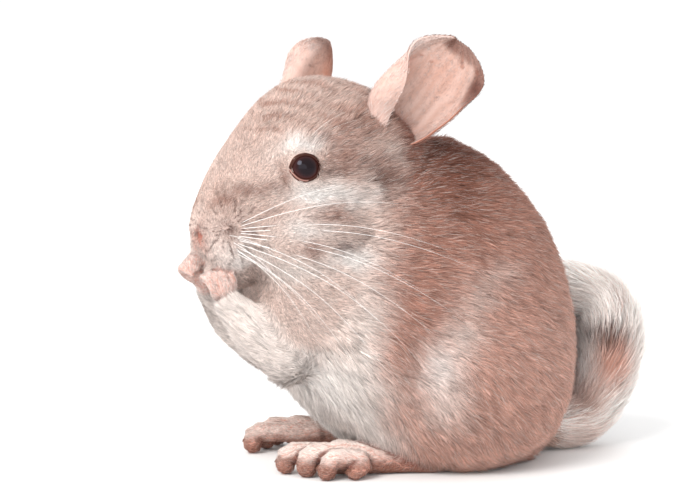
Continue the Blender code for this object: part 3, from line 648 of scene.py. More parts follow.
def make_skin(nodes, moved, eyes):
    """One seamless skin from all the nodes of flesh, with the number of the node at each of its points."""
    whole = bmesh.new()
    corners, polygons, owners = [], [], []
    for index, name in enumerate(FLESH):
        mesh = tail_core(moved) if name == "tail" else swollen(nodes[name].data)
        whole.from_mesh(mesh)
        base = len(corners)
        corners += [vert.co.copy() for vert in mesh.vertices]
        polygons += [[base + i for i in polygon.vertices] for polygon in mesh.polygons]
        owners += [index] * len(mesh.polygons)
        bpy.data.meshes.remove(mesh)
    for centre in eyes:
        bmesh.ops.create_icosphere(
            whole, subdivisions=3, radius=EYE_RADIUS * 0.93, matrix=Matrix.Translation(centre)
        )
    mesh = bpy.data.meshes.new("skin")
    whole.to_mesh(mesh)
    whole.free()
    skin = add_object("skin", mesh)
    melt = skin.modifiers.new("melt", "REMESH")
    melt.mode = "VOXEL"
    melt.voxel_size = SKIN_VOXEL
    soft = skin.modifiers.new("soft", "SMOOTH")
    soft.factor = 0.5
    soft.iterations = 3
    apply_modifiers(skin)

    tree = BVHTree.FromPolygons(corners, polygons)

    def nearest_nodes():
        return np.array([owners[tree.find_nearest(vert.co)[2]] for vert in skin.data.vertices])

    owner = nearest_nodes()
    behind = head_frame(positions(skin.data) - np.array(moved))[:, 0]
    muzzle = on_nodes(owner, "head") & (behind < 0.045)
    coarse = ~on_nodes(owner, "paw", "foot") & ~muzzle
    group = skin.vertex_groups.new(name="coarse")
    for chosen, weight in ((coarse, 1.0), (muzzle, 0.35)):
        group.add(np.where(chosen)[0].tolist(), weight, "REPLACE")
    thin = skin.modifiers.new("thin out", "DECIMATE")
    thin.ratio = min(1.0, SKIN_TRIANGLES / (2 * len(skin.data.polygons)))
    thin.vertex_group = "coarse"
    thin.vertex_group_factor = 4.0
    apply_modifiers(skin)
    skin.vertex_groups.clear()
    return skin, nearest_nodes()


def head_depth(s):
    """How far the skin lies inside the head's outside, by the distance behind the nose tip."""
    return 0.0004 + 0.0018 * step(0.004, 0.070, s)


def finish_skin(skin, owner, moved, material):
    """Sinks the skin to the roots of the hair, unwraps it and paints it."""
    mesh = skin.data
    co, ends = positions(mesh), edges_of(mesh)
    head = on_nodes(owner, "head")
    local = head_frame(co - np.array(moved))
    depth = np.array([row[0] for row in FLESH.values()])[owner]
    depth[head] = head_depth(local[head, 0])
    co -= normals_of(mesh) * (relax(depth, ends, 12) + SKIN_SWELL)[:, None]
    mesh.vertices.foreach_set("co", co.astype(np.float32).ravel())
    mesh.update()
    smooth(mesh)
    unwrap(skin, 0.002)
    bare = relax(on_nodes(owner, "paw", "foot"), ends, 4)
    nose = bell(local, (0.003, 0, -0.003), (0.0045, 0.0055, 0.0050))
    colours = paint(co - np.array(moved), normals_of(mesh), owner, ends)
    colours = mix(colours * 0.72, PINK_SKIN, bare * 0.85)
    set_colours(mesh, mix(colours, SKIN_RED, nose * 0.7))
    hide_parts(*[n for n in FLESH if n != "tail"], "tail_root", "tail_shaft", "tail_tip")
    dress(skin, material)


# Markings


def paint_marks(points, marks, base):
    """Paints marks, which are in millimetres, on both sides and with uneven edges."""
    wander = [
        noise(points, 0.0045, 81 + k) * 0.0016 + noise(points, 0.0016, 85 + k) * 0.0009
        for k in range(3)
    ]
    points = points + np.stack(wander, axis=1)
    for centre, radii, colour, strength in marks:
        near, far = (
            bell(points, np.array((centre[0], side * centre[1], centre[2])) * MM, np.array(radii) * MM)
            for side in (1, -1)
        )
        base = mix(base, colour, np.maximum(near, far) * strength)
    return base


def body_colours(p):
    """The veil over the back and flanks, and the cream chest and belly."""
    x, z = p[:, 0], p[:, 2]
    warp = noise(p, 0.012, 3) * 0.004 + noise(p, 0.005, 4) * 0.002
    edge = -0.026 + 0.012 * step(0.045, 0.0, z) + warp
    veil = step(edge - 0.007, edge + 0.009, x)
    height = step(0.045, 0.100, z + noise(p, 0.010, 5) * 0.006)
    base = np.tile(linear(CREAM), (len(p), 1))
    base = mix(base, ROSE, veil)
    base = mix(base, VEIL, veil * (0.25 + 0.75 * height))
    base = mix(base, DEEP, veil * step(0.085, 0.125, z) * 0.5)
    return paint_marks(p, BODY_MARKS, base)


def face_colours(p):
    """Greyish beige with its marks, ripples on the brow and the darker neck behind."""
    local = head_frame(p)
    behind, left, up = local[:, 0], np.abs(local[:, 1]), local[:, 2]
    wave = (behind * 0.75 + up * 0.65 - left * 0.25) / 0.0060 * math.tau
    ripple = step(-0.1, 0.9, np.sin(wave + noise(p, 0.010, 11) * 3.2))
    ripple = ripple * step(0.026, 0.034, up) * step(0.012, 0.030, behind)
    ripple *= 0.35 + 0.65 * step(-0.5, 0.5, noise(p, 0.0065, 13))
    neck = step(0.060, 0.072, behind + noise(p, 0.004, 15) * 0.003)
    base = np.tile(linear(GREY_BEIGE), (len(p), 1))
    base = mix(base, BROWN_FACE, 0.25 * step(0.010, 0.035, up))
    base = mix(base, (188, 144, 128), ripple * 0.80)
    base = paint_marks(local, FACE_MARKS, base)
    base = mix(base, VEIL, neck * 0.85)
    return mix(base, DEEP, neck * step(0.0, 0.018, up) * 0.75)


def paint(points, normals, owner, ends):
    """Colours of the coat at every point of the skin, in linear light."""
    head = relax(on_nodes(owner, "head"), ends, 14) * step(0.092, 0.070, head_frame(points)[:, 0])
    arms = relax(on_nodes(owner, "foreleg"), ends, 8)
    paws, feet, tail = (relax(on_nodes(owner, word), ends, 3) for word in ("forepaw", "hind_foot", "tail"))
    low = step(0.0090, 0.0035, points[:, 2] + noise(points, 0.003, 91) * 0.0012)
    inside = step(-0.004, 0.010, points[:, 1])
    heel = step(-0.030, -0.012, points[:, 0])
    # hollow: how deep a point lies in a dip of the skin, used for painted shade between the toes.
    hollow = np.sum((relax(points, ends, 14) - points) * normals, axis=1)
    colours = body_colours(points)
    colours = colours + (face_colours(points) - colours) * head[:, None]
    for colour, amount in (
        ((236, 224, 218), arms * 0.8),
        ((238, 214, 206), paws),
        ((246, 228, 220), feet),
        ((176, 112, 90), feet * low * 0.9),
        ((176, 116, 96), feet * inside * 0.20),
        ((168, 110, 90), feet * heel * 0.45),
        # Painted shade in the hollows between the toes and pads.
        ((136, 76, 62), np.maximum(paws, feet) * step(0.00003, 0.00035, hollow) * 0.9),
        ((214, 180, 166), tail),
    ):
        colours = mix(colours, colour, amount)
    return colours


# Coat


def lie_of_coat(points, normals, owner, ends, eyes):
    """The way the hair lies at every point of the skin, along the skin."""
    flow = unit(points - np.array(head_point(-0.004, 0, 0.000)))
    flow[:, 2] -= 0.30 * step(-0.020, 0.010, points[:, 0])
    whorls = [np.array(head_point(0.0092, side * 0.0120, 0.0)) for side in (1, -1)]
    partings = [(whorl, 1.6, 0.007, 2) for whorl in whorls] + [(eye, 2.4, 0.0095, 4) for eye in eyes]
    for centre, push, reach, power in partings:
        away = points - centre
        r = np.linalg.norm(away, axis=1)
        flow += unit(away) * (push * np.exp(-((r / reach) ** power)))[:, None]
    for name, way in (
        ("hind_foot", (-1, 0, 0.05)),
        ("foreleg_left", (-0.75, -0.1, 0.55)),
        ("foreleg_right", (-0.7, -0.5, 0.5)),
        ("forepaw", (-0.45, 0.1, 0.8)),
    ):
        flow[on_nodes(owner, name)] = way
    tail = on_nodes(owner, "tail")
    line = np.array([row[:3] for row in resample(TAIL_LINE, 6)])
    nearest = np.argmin(((points[tail][:, None] - line[None]) ** 2).sum(axis=2), axis=1)
    flow[tail] = unit(line[np.minimum(nearest + 1, len(line) - 1)] - line[np.maximum(nearest - 1, 0)])
    for _ in range(3):
        flow = relax(unit(along_skin(flow, normals)), ends, 5)
    turn = noise(points, 0.0065, 21) * 0.38 + noise(points, 0.0028, 22) * 0.26
    return unit(along_skin(flow + np.cross(normals, flow) * turn[:, None], normals))


def hair_mesh(name, hairs, draw):
    """Two triangles a hair: a thin ridge that tapers to its tip, with three colours along it."""
    roots, lengths = hairs["root"], hairs["length"]
    n = len(roots)
    normals, lies = unit(hairs["normal"]), unit(hairs["lie"])
    rise = np.clip(hairs["rise"] / lengths, 0.02, 0.92)
    direction = unit(lies * np.sqrt(1 - rise**2)[:, None] + normals * rise[:, None])
    right = unit(np.cross(direction, normals))
    roll = draw.uniform(-0.5, 0.5, n)[:, None]
    over = np.cross(right, direction)
    right, over = right * np.cos(roll) + over * np.sin(roll), over * np.cos(roll) - right * np.sin(roll)
    half = (hairs["width"] / 2)[:, None]
    verts = np.empty((n, 4, 3), np.float32)
    verts[:, 0] = roots - right * half
    verts[:, 1] = roots + right * half
    verts[:, 2] = roots + over * half * 0.9 + direction * (lengths * HAIR_MIDDLE)[:, None]
    verts[:, 3] = roots + direction * lengths[:, None]
    verts[:, :, 2] = np.maximum(verts[:, :, 2], 0.00015)
    faces = (np.arange(n)[:, None] * 4 + np.array([0, 2, 3, 2, 1, 3])).reshape(-1, 3)
    mesh = mesh_of(name, verts, faces, hairs["colours"][:, (0, 0, 1, 2)].reshape(-1, 3))
    facing = normals + right * draw.normal(0, 0.30, n)[:, None] + direction * draw.normal(0, 0.20, n)[:, None]
    facing = unit(facing)
    bent = (facing - right * 0.55, facing + right * 0.55, facing + over * 0.3, facing + direction * 0.45)
    set_normals(mesh, unit(np.stack(bent, axis=1)))
    patch = np.array([(-PATCH, -PATCH), (PATCH, -PATCH), (0, -0.0010), (0, PATCH)])
    set_unwrap(mesh, (hairs["uv"][:, None] + patch[None])[:, (0, 2, 3, 2, 1, 3)])
    return mesh


def blended(weights, values):
    """Values at the three corners of each triangle, mixed by their weights."""
    if values.ndim == 2:
        return np.sum(weights * values, axis=1)
    return np.einsum("nk,nkc->nc", weights, values)


def grow(skin, fields, draw):
    """Roots spread over the skin, with everything that the skin's points say about the hair there."""
    mesh = skin.data
    mesh.calc_loop_triangles()
    tris, loops = (read(mesh.loop_triangles, key, 3, np.int32) for key in ("vertices", "loops"))
    fields = {"root": positions(mesh), **fields}
    a, b, c = (fields["root"][tris[:, k]] for k in range(3))
    area = np.linalg.norm(np.cross(b - a, c - a), axis=1) / 2
    expected = area * (fields["density"][tris].mean(axis=1) * 1e6)
    total = int(expected.sum())
    chosen = np.searchsorted(np.cumsum(expected), draw.uniform(0, expected.sum(), total))
    chosen = np.minimum(chosen, len(tris) - 1)
    u, v = draw.uniform(0, 1, total), draw.uniform(0, 1, total)
    flip = u + v > 1
    u[flip], v[flip] = 1 - u[flip], 1 - v[flip]
    weights = np.stack([1 - u - v, u, v], axis=1)
    hairs = {key: blended(weights, values[tris[chosen]]) for key, values in fields.items()}
    hairs["uv"] = blended(weights, unwrap_of(mesh)[loops[chosen]])
    return hairs


def coat_fields(skin, owner, moved, eyes):
    """What the hair is like at every point of the skin."""
    mesh = skin.data
    ends, co, normals = edges_of(mesh), positions(mesh), normals_of(mesh)
    p = co - np.array(moved)
    behind = head_frame(p)[:, 0]
    depth, length, width, density = np.array(list(FLESH.values()))[owner].T.copy()
    head = on_nodes(owner, "head")
    s = behind[head]
    depth[head] = head_depth(s)
    length[head] = 0.0011 + 0.0042 * step(0.003, 0.080, s)
    width[head] = 0.00019 + 0.00017 * step(0.0, 0.070, s)
    density[head] = 16 - 8 * step(0.010, 0.070, s)
    belly = step(-0.010, -0.045, p[:, 0]) * on_nodes(owner, "torso", "neck")
    length = length * (1 + 0.25 * belly)
    length, width, density, depth = (relax(field, ends, 10) for field in (length, width, density, depth))
    for eye in eyes:
        r = np.linalg.norm(co - np.array(eye), axis=1)
        length *= 0.42 + 0.58 * step(0.0060, 0.0120, r)
        density[r < 0.0064] = 0
    for side in (1, -1):
        nostril = np.array(head_point(0.0030, side * 0.0030, -0.0026))
        density[np.linalg.norm(p - nostril, axis=1) < 0.0016] = 0
    return {
        "normal": normals,
        "lie": lie_of_coat(p, normals, owner, ends, [np.array(eye) - np.array(moved) for eye in eyes]),
        "length": length,
        "width": width,
        "density": density,
        "depth": depth,
        "colour": paint(p, normals, owner, ends),
    }


def gather_tufts(hairs, at, draw):
    """Leans the hairs together in tufts, and gives how bright each hair is for its place in them."""
    n = len(at)
    normals, length = hairs["normal"], hairs["length"]
    sizes = np.clip(length * TUFT_SHARE, 0.00045, 0.0020)
    sizes = np.exp(np.round(np.log(sizes) * 3) / 3)
    inward, edge, own = tufts(at, sizes, 31)
    big_inward, big_edge, _ = tufts(at, np.full(n, BIG_TUFT), 61)
    furry = step(0.0020, 0.0060, length)
    loose = draw.uniform(0, 1, n)
    bound = np.where(loose > 0.86, 0.15, 1.0)
    length = length * draw.uniform(0.74, 1.16, n) * (0.88 + 0.24 * own[:, 0])
    pull = (0.80 * bound / length)[:, None]
    lean = (own[:, 1] - 0.5) * 0.34 + draw.normal(0, 0.13, n)
    lie = hairs["lie"] + np.cross(normals, hairs["lie"]) * lean[:, None]
    lie = lie + along_skin(inward, normals) * pull + along_skin(big_inward, normals) * pull * 0.35
    lift = draw.uniform(0.60, 1.12, n) * np.where(loose > 0.97, 1.30, 1.0)
    lift *= 1.08 - 0.30 * edge * bound - 0.22 * big_edge * furry
    hairs["length"], hairs["lie"] = length, unit(lie)
    hairs["rise"] = (hairs["depth"] + 0.0002) * lift
    hairs["width"] = hairs["width"] * draw.uniform(0.7, 1.25, n)
    strand = noise(at, 0.0016, 31) * 0.4 + noise(at, 0.0042, 32) * 0.6
    shade = 1.08 + 0.14 * strand + 0.30 * (own[:, 2] - 0.5) + draw.normal(0, 0.11, n)
    # Hairs at the edges of the tufts and of the big tufts are painted darker, as shade in the partings
    # between them.
    return shade * (1 - 0.22 * edge - 0.16 * step(0.55, 1.0, big_edge) * furry)


def hair_colours(tip, at, draw):
    """Colours of root, middle and tip, with dark strokes round the whiskers' roots and a few odd hairs."""
    n = len(tip)
    local = head_frame(at)
    for side in (1, -1):
        off = local - np.array((0.0092, side * 0.0124, 0.0))
        r = np.linalg.norm(off, axis=1)
        angle = np.arctan2(off[:, 2], off[:, 0])
        spoke = np.sin(angle * 19 + noise(at, 0.0030, 41) * 3.0) + 0.9 * noise(at, 0.0011, 43)
        dark = step(0.45, 1.15, spoke) * step(0.0210, 0.003, r)
        tip = mix(tip, DARK_STROKE, np.maximum(dark, step(0.0022, 0.0008, r)) * 0.78)
    brightness = step(0.25, 0.70, tip @ np.array((0.3, 0.5, 0.2)))
    light_hair = (draw.uniform(0, 1, n) < 0.13)[:, None]
    tip = np.where(light_hair, tip * 0.55 + linear(CREAM) * 0.42, tip)
    dark_hair = (draw.uniform(0, 1, n) < 0.13 * (1 - 0.7 * brightness))[:, None]
    tip = np.where(dark_hair, tip * 0.62, tip)
    middle = tip * (0.80 + 0.12 * brightness)[:, None] + linear(CREAM) * 0.05
    root = tip * (0.34 + 0.58 * brightness)[:, None]
    return np.stack([root, middle, tip], axis=1)


def make_coat(skin, owner, moved, eyes, material):
    """The short coat over the whole skin."""
    draw = np.random.default_rng(11)
    hairs = grow(skin, coat_fields(skin, owner, moved, eyes), draw)
    at = hairs["root"] - np.array(moved)
    shade = gather_tufts(hairs, at, draw)
    hairs["colours"] = hair_colours(hairs["colour"] * shade[:, None], at, draw)
    order = np.argsort(hairs["root"][:, 0] + 0.5 * hairs["root"][:, 2])
    for k, part in enumerate(np.array_split(order, math.ceil(len(order) / PIECE_HAIRS))):
        name = f"coat_{k + 1}"
        mesh = hair_mesh(name, {key: values[part] for key, values in hairs.items()}, draw)
        dress(add_object(name, mesh), material)


# Tail


def tail_table():
    """Rows along the tail of point, tangent, side, other side and the two radii, and the rows' distances."""
    rows = np.array(resample(TAIL_LINE, 12))
    points = rows[:, :3]
    tangents = unit(np.gradient(points, axis=0))
    sides, side = [], Vector(tangents[0]).orthogonal()
    for tangent in map(Vector, tangents):
        side = (side - tangent * side.dot(tangent)).normalized()
        sides.append(tuple(side))
    lengths = np.concatenate([[0], np.cumsum(np.linalg.norm(np.diff(points, axis=0), axis=1))])
    return np.hstack([points, tangents, sides, np.cross(tangents, sides), rows[:, 3:5]]), lengths


def tail_hairs(draw):
    """Places along each hair, the way out from the core at its root, and a value of its clump."""
    n = TAIL_HAIRS
    table, lengths = tail_table()
    whole = lengths[-1]
    share = 0.10 + 0.90 * draw.uniform(0, 1, n) ** 0.9
    angle = draw.uniform(0, math.tau, n)
    clump = np.floor(share * 26) + 0.37 * np.floor(angle / math.tau * 15 + share * 7)
    own = np.sin(clump * 12.9898) * 43758.5453
    own = own - np.floor(own)
    length = (0.0105 + 0.0085 * share) * draw.uniform(0.65, 1.15, n) * (0.85 + 0.3 * own)
    splay = step(0.66, 1.0, share) * draw.uniform(0.2, 1.0, n)
    turn = (own - 0.5) * 0.5 + draw.normal(0, 0.10, n)
    open_up = draw.uniform(0.55, 1.05, n) * (0.85 + 0.3 * own)
    rings, outs = np.empty((n, TAIL_STEPS + 1, 3)), []
    for k in range(TAIL_STEPS + 1):
        t = k / TAIL_STEPS
        along = np.minimum(share * whole + length * t * 0.90, whole + length)
        inside = np.minimum(along, whole)
        beyond = along - inside
        f = np.interp(inside, lengths, np.arange(len(lengths)))
        i = np.minimum(f.astype(int), len(lengths) - 2)
        w = (f - i)[:, None]
        row = table[i] * (1 - w) + table[i + 1] * w
        centre, tangent, side, other = row[:, :3], unit(row[:, 3:6]), row[:, 6:9], row[:, 9:12]
        core, hair = row[:, 12:].T
        a = angle + turn * t
        outs.append(side * np.cos(a)[:, None] + other * np.sin(a)[:, None])
        close = np.exp(-beyond / 0.012)
        opened = (hair - core) * open_up * np.sin(t * math.pi / 2) * (0.55 + 0.45 * close)
        radius = (core - 0.0008) * close + opened
        radius += length * 0.55 * t**1.4 * splay
        rings[:, k] = centre + tangent * beyond[:, None] + outs[k] * radius[:, None]
    return rings, outs[0], own


def tail_tone(place, t, outs, own, hue):
    """Colours of the tail's hairs at share t of their length, with whiter tips at the fringe as painted rim
    light. place is in millimetres.
    """
    seen = (outs[:, 1] < 0.55).astype(float)
    edge_on = 1 - np.abs(outs[:, 1]) ** 2
    # The base tone is lifted past white: painted light that brightens the tail where it lies in the body's
    # shade.
    tone = np.tile(linear((255, 250, 246)) * 1.06, (len(place), 1))
    for centre, radii, colour, strength in TAIL_MARKS:
        tone = mix(tone, colour, bell(place[:, (0, 2)], centre, radii, 1.5) * strength * seen)
    tone = mix(tone, (206, 160, 142), (hue[:, 2] > 0.9) * 0.35)
    tone = tone * (1 + 0.10 * hue[:, 1] + 0.25 * (own - 0.5))[:, None] * (0.90 + 0.10 * step(0, 0.5, t))
    # Painted rim light: tips of hairs that point across the view are whiter, as the bright fringe round the
    # tail's outline.
    return mix(tone, WHITE, step(0.35, 1.0, t) * edge_on * (1 - seen * 0.6))


def make_tail_coat(skin, moved, material):
    """Long hair in clumps along the tail, each hair bent and with three sides."""
    draw = np.random.default_rng(23)
    n, steps = TAIL_HAIRS, TAIL_STEPS
    rings, outs, own = tail_hairs(draw)
    rings += np.array(moved)
    rings[:, :, 2] = np.maximum(rings[:, :, 2], 0.0004)
    width = 0.00025 * draw.uniform(0.6, 1.3, n)
    hue = draw.normal(0, 1, (n, 3))
    forward = unit(rings[:, 1] - rings[:, 0])
    right = unit(np.cross(forward, outs))
    over = np.cross(right, forward)
    wide = steps * 3 + 1
    verts, colours, patch = np.empty((n, wide, 3)), np.empty((n, wide, 3)), np.empty((wide, 2))
    for k in range(steps + 1):
        t = k / steps
        own_verts = slice(k * 3, min(k * 3 + 3, wide))
        place = (rings[:, k] - np.array(moved)) / MM + hue * (1.2, 0, 3.0)
        colours[:, own_verts] = tail_tone(place, t, outs, own, hue)[:, None]
        if k == steps:
            verts[:, -1], patch[-1] = rings[:, k], (0, PATCH)
            break
        half = (width * (1 - 0.75 * t**1.5) / 2)[:, None]
        verts[:, own_verts] = rings[:, k, None] + np.stack([-right * half, right * half, over * half], axis=1)
        patch[own_verts] = [(x, -PATCH + 2 * PATCH * t) for x in (-PATCH, PATCH, 0)]
    pattern = []
    for a in range(0, steps * 3 - 3, 3):
        b = a + 3
        pattern += [(a, a + 2, b + 2), (a, b + 2, b), (a + 2, a + 1, b + 1), (a + 2, b + 1, b + 2)]
    a = steps * 3 - 3
    pattern = np.array(pattern + [(a, a + 2, a + 3), (a + 2, a + 1, a + 3)])
    soft = np.repeat(unit(outs + over * 0.3 + draw.normal(0, 0.25, (n, 3)))[:, None], wide, axis=1)
    bvh = BVHTree.FromObject(skin, bpy.context.evaluated_depsgraph_get())
    unwrapped = unwrap_of(skin.data)
    corners = [skin.data.polygons[bvh.find_nearest(Vector(root))[2]].loop_indices for root in rings[:, 0]]
    roots_uv = np.array([unwrapped[list(loops)].mean(axis=0) for loops in corners])
    for k, part in enumerate(np.array_split(np.arange(n), TAIL_PIECES)):
        name = f"coat_tail_{k + 1}"
        faces = (np.arange(len(part))[:, None, None] * wide + pattern[None]).reshape(-1, 3)
        mesh = mesh_of(name, verts[part], faces, colours[part].reshape(-1, 3))
        set_normals(mesh, soft[part])
        set_unwrap(mesh, (roots_uv[part][:, None] + patch[None]).reshape(-1, 2)[faces.ravel()])
        dress(add_object(name, mesh), material)


# Ears


def ear_sheet(side):
    """Points of the middle of the ear's sheet, rows from base to tip and columns from front to back.

    Also the rows' shares of the length, and the ways down the rows, along the columns and out of the cup.
    """
    base, pointing, opening = EARS["left" if side > 0 else "right"]
    base = np.array(head_point(base.x, side * base.y, base.z))
    axis = head_direction(Vector((pointing.x, side * pointing.y, pointing.z))).normalized()
    opening = head_direction(Vector((opening.x, side * opening.y, opening.z)))
    opening = (opening - axis * opening.dot(axis)).normalized()
    across = np.array(axis.cross(opening) * side)
    axis, opening = np.array(axis), np.array(opening)
    profile = np.array(resample(EAR_SECTIONS, 8))
    tube_radius = (EAR_SECTIONS[0][1] + EAR_SECTIONS[0][2]) / math.radians(EAR_SECTIONS[0][3])
    middle, fine = EAR_COLUMNS // 2, 6
    u = (np.arange(middle * fine) + 0.5) / (middle * fine)
    grid = np.empty((EAR_ROWS + 1, EAR_COLUMNS + 1, 3))
    shares = 1 - (1 - np.arange(EAR_ROWS + 1) / EAR_ROWS) ** 1.4
    for i, share in enumerate(shares):
        front, back, bend, front_roll, back_roll = (
            np.interp(share, profile[:, 0], profile[:, c]) for c in range(1, 6)
        )
        settle = max(1 - share / 0.5, 0) ** 2
        stem = base + axis * EAR_LENGTH * share - opening * tube_radius * settle
        for way, width, roll, span in ((-1, front, front_roll, FRONT_ROLL), (1, back, back_roll, BACK_ROLL)):
            heading = np.radians(u * bend / 2 + roll * np.clip((u - span[0]) / (span[1] - span[0]), 0, 1))
            stride = width / len(u)
            x = way * np.concatenate([[0], np.cumsum(np.cos(heading)) * stride])[::fine]
            y = np.concatenate([[0], np.cumsum(np.sin(heading)) * stride])[::fine]
            grid[i, middle + way * np.arange(middle + 1)] = stem + x[:, None] * across + y[:, None] * opening
    down, sideways = np.gradient(grid, axis=0), np.gradient(grid, axis=1)
    out = unit(np.cross(sideways, down))
    if out[EAR_ROWS // 2, middle] @ opening < 0:
        out = -out
    return grid, shares, down, sideways, out


def ear_colours(side, share, u, inner, p):
    """Markings of the ear, with painted light shining through the far ear and painted shade along the rolled
    front margin. u runs from -1 at the front margin to 1 at the back margin.
    """
    place = np.stack([share, u], axis=1)
    dark = (98, 52, 38) if side > 0 else (150, 116, 104)
    rim = step(0.66, 0.84, u + 0.05 * noise(p, 0.004, 59)) * step(0.50, 0.68, share)
    tip_rim = step(0.875, 0.930, share + 0.012 * noise(p, 0.004, 58)) * step(-0.60, -0.1, u)
    rim = np.maximum(rim, tip_rim)
    fan = np.sin(u * 30 + noise(p, 0.006, 51) * 2.5) * 0.5 + 0.5
    hairy = np.sin(share * 60 + u * 22 + noise(p, 0.0035, 57) * 5) * 0.5 + 0.5
    spots = step(0.62, 0.80, noise(p, 0.0021, 53)) * step(0.45, 0.75, share)
    inside = [
        ((220, 196, 188), fan * 0.35 * step(0.05, 0.35, share)),
        # Painted shade: a reddish band on the inside along the rolled front margin, low on the ear.
        ((196, 112, 88), bell(u[:, None], -0.50, 0.13) * step(0.80, 0.45, share) * 0.75),
        ((160, 84, 64), bell(place, (0.12, -0.05), (0.11, 0.5)) * 0.75),
        ((192, 142, 124), bell(place, (0.70, 0.1), (0.22, 0.5)) * 0.45),
        ((230, 206, 198), step(-0.66, -0.78, u) * 0.8),
        (dark, rim * (0.75 + 0.25 * noise(p, 0.004, 52))),
        ((138, 84, 66), spots * 0.6),
        ((92, 56, 48), bell(place, (0.76, 0.86), (0.085, 0.17)) * 0.9),
    ]
    outside = [
        ((212, 182, 172), step(-0.30, -0.62, u) * (0.55 + 0.4 * hairy)),
        ((166, 102, 80), step(0.35, 0.85, u) * 0.8),
        (dark, rim * 0.8),
    ]
    # The far ear's outside: a warm orange that is painted light shining through the sheet, and a greyer tip.
    if side < 0:
        outside += [
            ((226, 150, 120), step(-0.25, 0.35, u) * 0.9),
            ((166, 126, 114), step(0.70, 0.98, share) * 0.8),
        ]
    faces = []
    for ground, marks in (((188, 154, 142), inside), ((206, 162, 146), outside)):
        tone = np.tile(linear(ground), (len(share), 1))
        for colour, amount in marks:
            tone = mix(tone, colour, amount)
        faces.append(tone)
    return np.where(inner[:, None], *faces)


def make_ear(name, side, moved, material):
    """A thin cupped sheet with a rounded margin, soft folds inside and its markings."""
    grid, shares, _, _, out = ear_sheet(side)
    u = np.linspace(-1, 1, EAR_COLUMNS + 1)[None] * np.ones((EAR_ROWS + 1, 1))
    share = shares[:, None] * np.ones((1, EAR_COLUMNS + 1))
    rim = np.maximum(step(0.86, 1.0, np.abs(u)), step(0.94, 1.0, share))
    half = EAR_THICKNESS / 2 * (1 - 0.45 * rim)
    p = grid.reshape(-1, 3)
    pleat = np.sin(u * 15 + noise(p, 0.010, 61).reshape(u.shape) * 1.5)
    folds = pleat * 0.00022 * step(0.9, 0.3, share) * (1 - rim)
    bumps = noise(p, 0.0035, 62).reshape(u.shape) * 0.00010
    inner = grid + out * (half + folds + bumps)[..., None]
    outer = grid - out * (half - folds - bumps)[..., None]
    verts = np.concatenate([inner.reshape(-1, 3), outer.reshape(-1, 3)]) + np.array(moved)
    wide = EAR_COLUMNS + 1
    total = len(p)
    faces = []
    for i in range(EAR_ROWS):
        for k in range(EAR_COLUMNS):
            a, b, c, d = i * wide + k, i * wide + k + 1, (i + 1) * wide + k + 1, (i + 1) * wide + k
            faces += [(a, b, c, d), (total + a, total + d, total + c, total + b)]
    for i in range(EAR_ROWS):
        a, d = i * wide, (i + 1) * wide
        faces.append((a, d, total + d, total + a))
        a, d = a + EAR_COLUMNS, d + EAR_COLUMNS
        faces.append((d, a, total + a, total + d))
    for k in range(EAR_COLUMNS):
        a, b = EAR_ROWS * wide + k, EAR_ROWS * wide + k + 1
        faces += [(a, b, total + b, total + a), (k + 1, k, total + k, total + k + 1)]
    insides = np.arange(2 * total) < total
    colours = ear_colours(side, np.tile(share.ravel(), 2), np.tile(u.ravel(), 2), insides, np.tile(p, (2, 1)))
    mesh = mesh_of(name, verts, faces, colours)
    face_outward(mesh)
    ear = add_object(name, mesh)
    rounded = ear.modifiers.new("smooth", "SUBSURF")
    rounded.levels = rounded.render_levels = 1
    apply_modifiers(ear)
    unwrap(ear, 0.005)
    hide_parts(name)
    dress(ear, material)


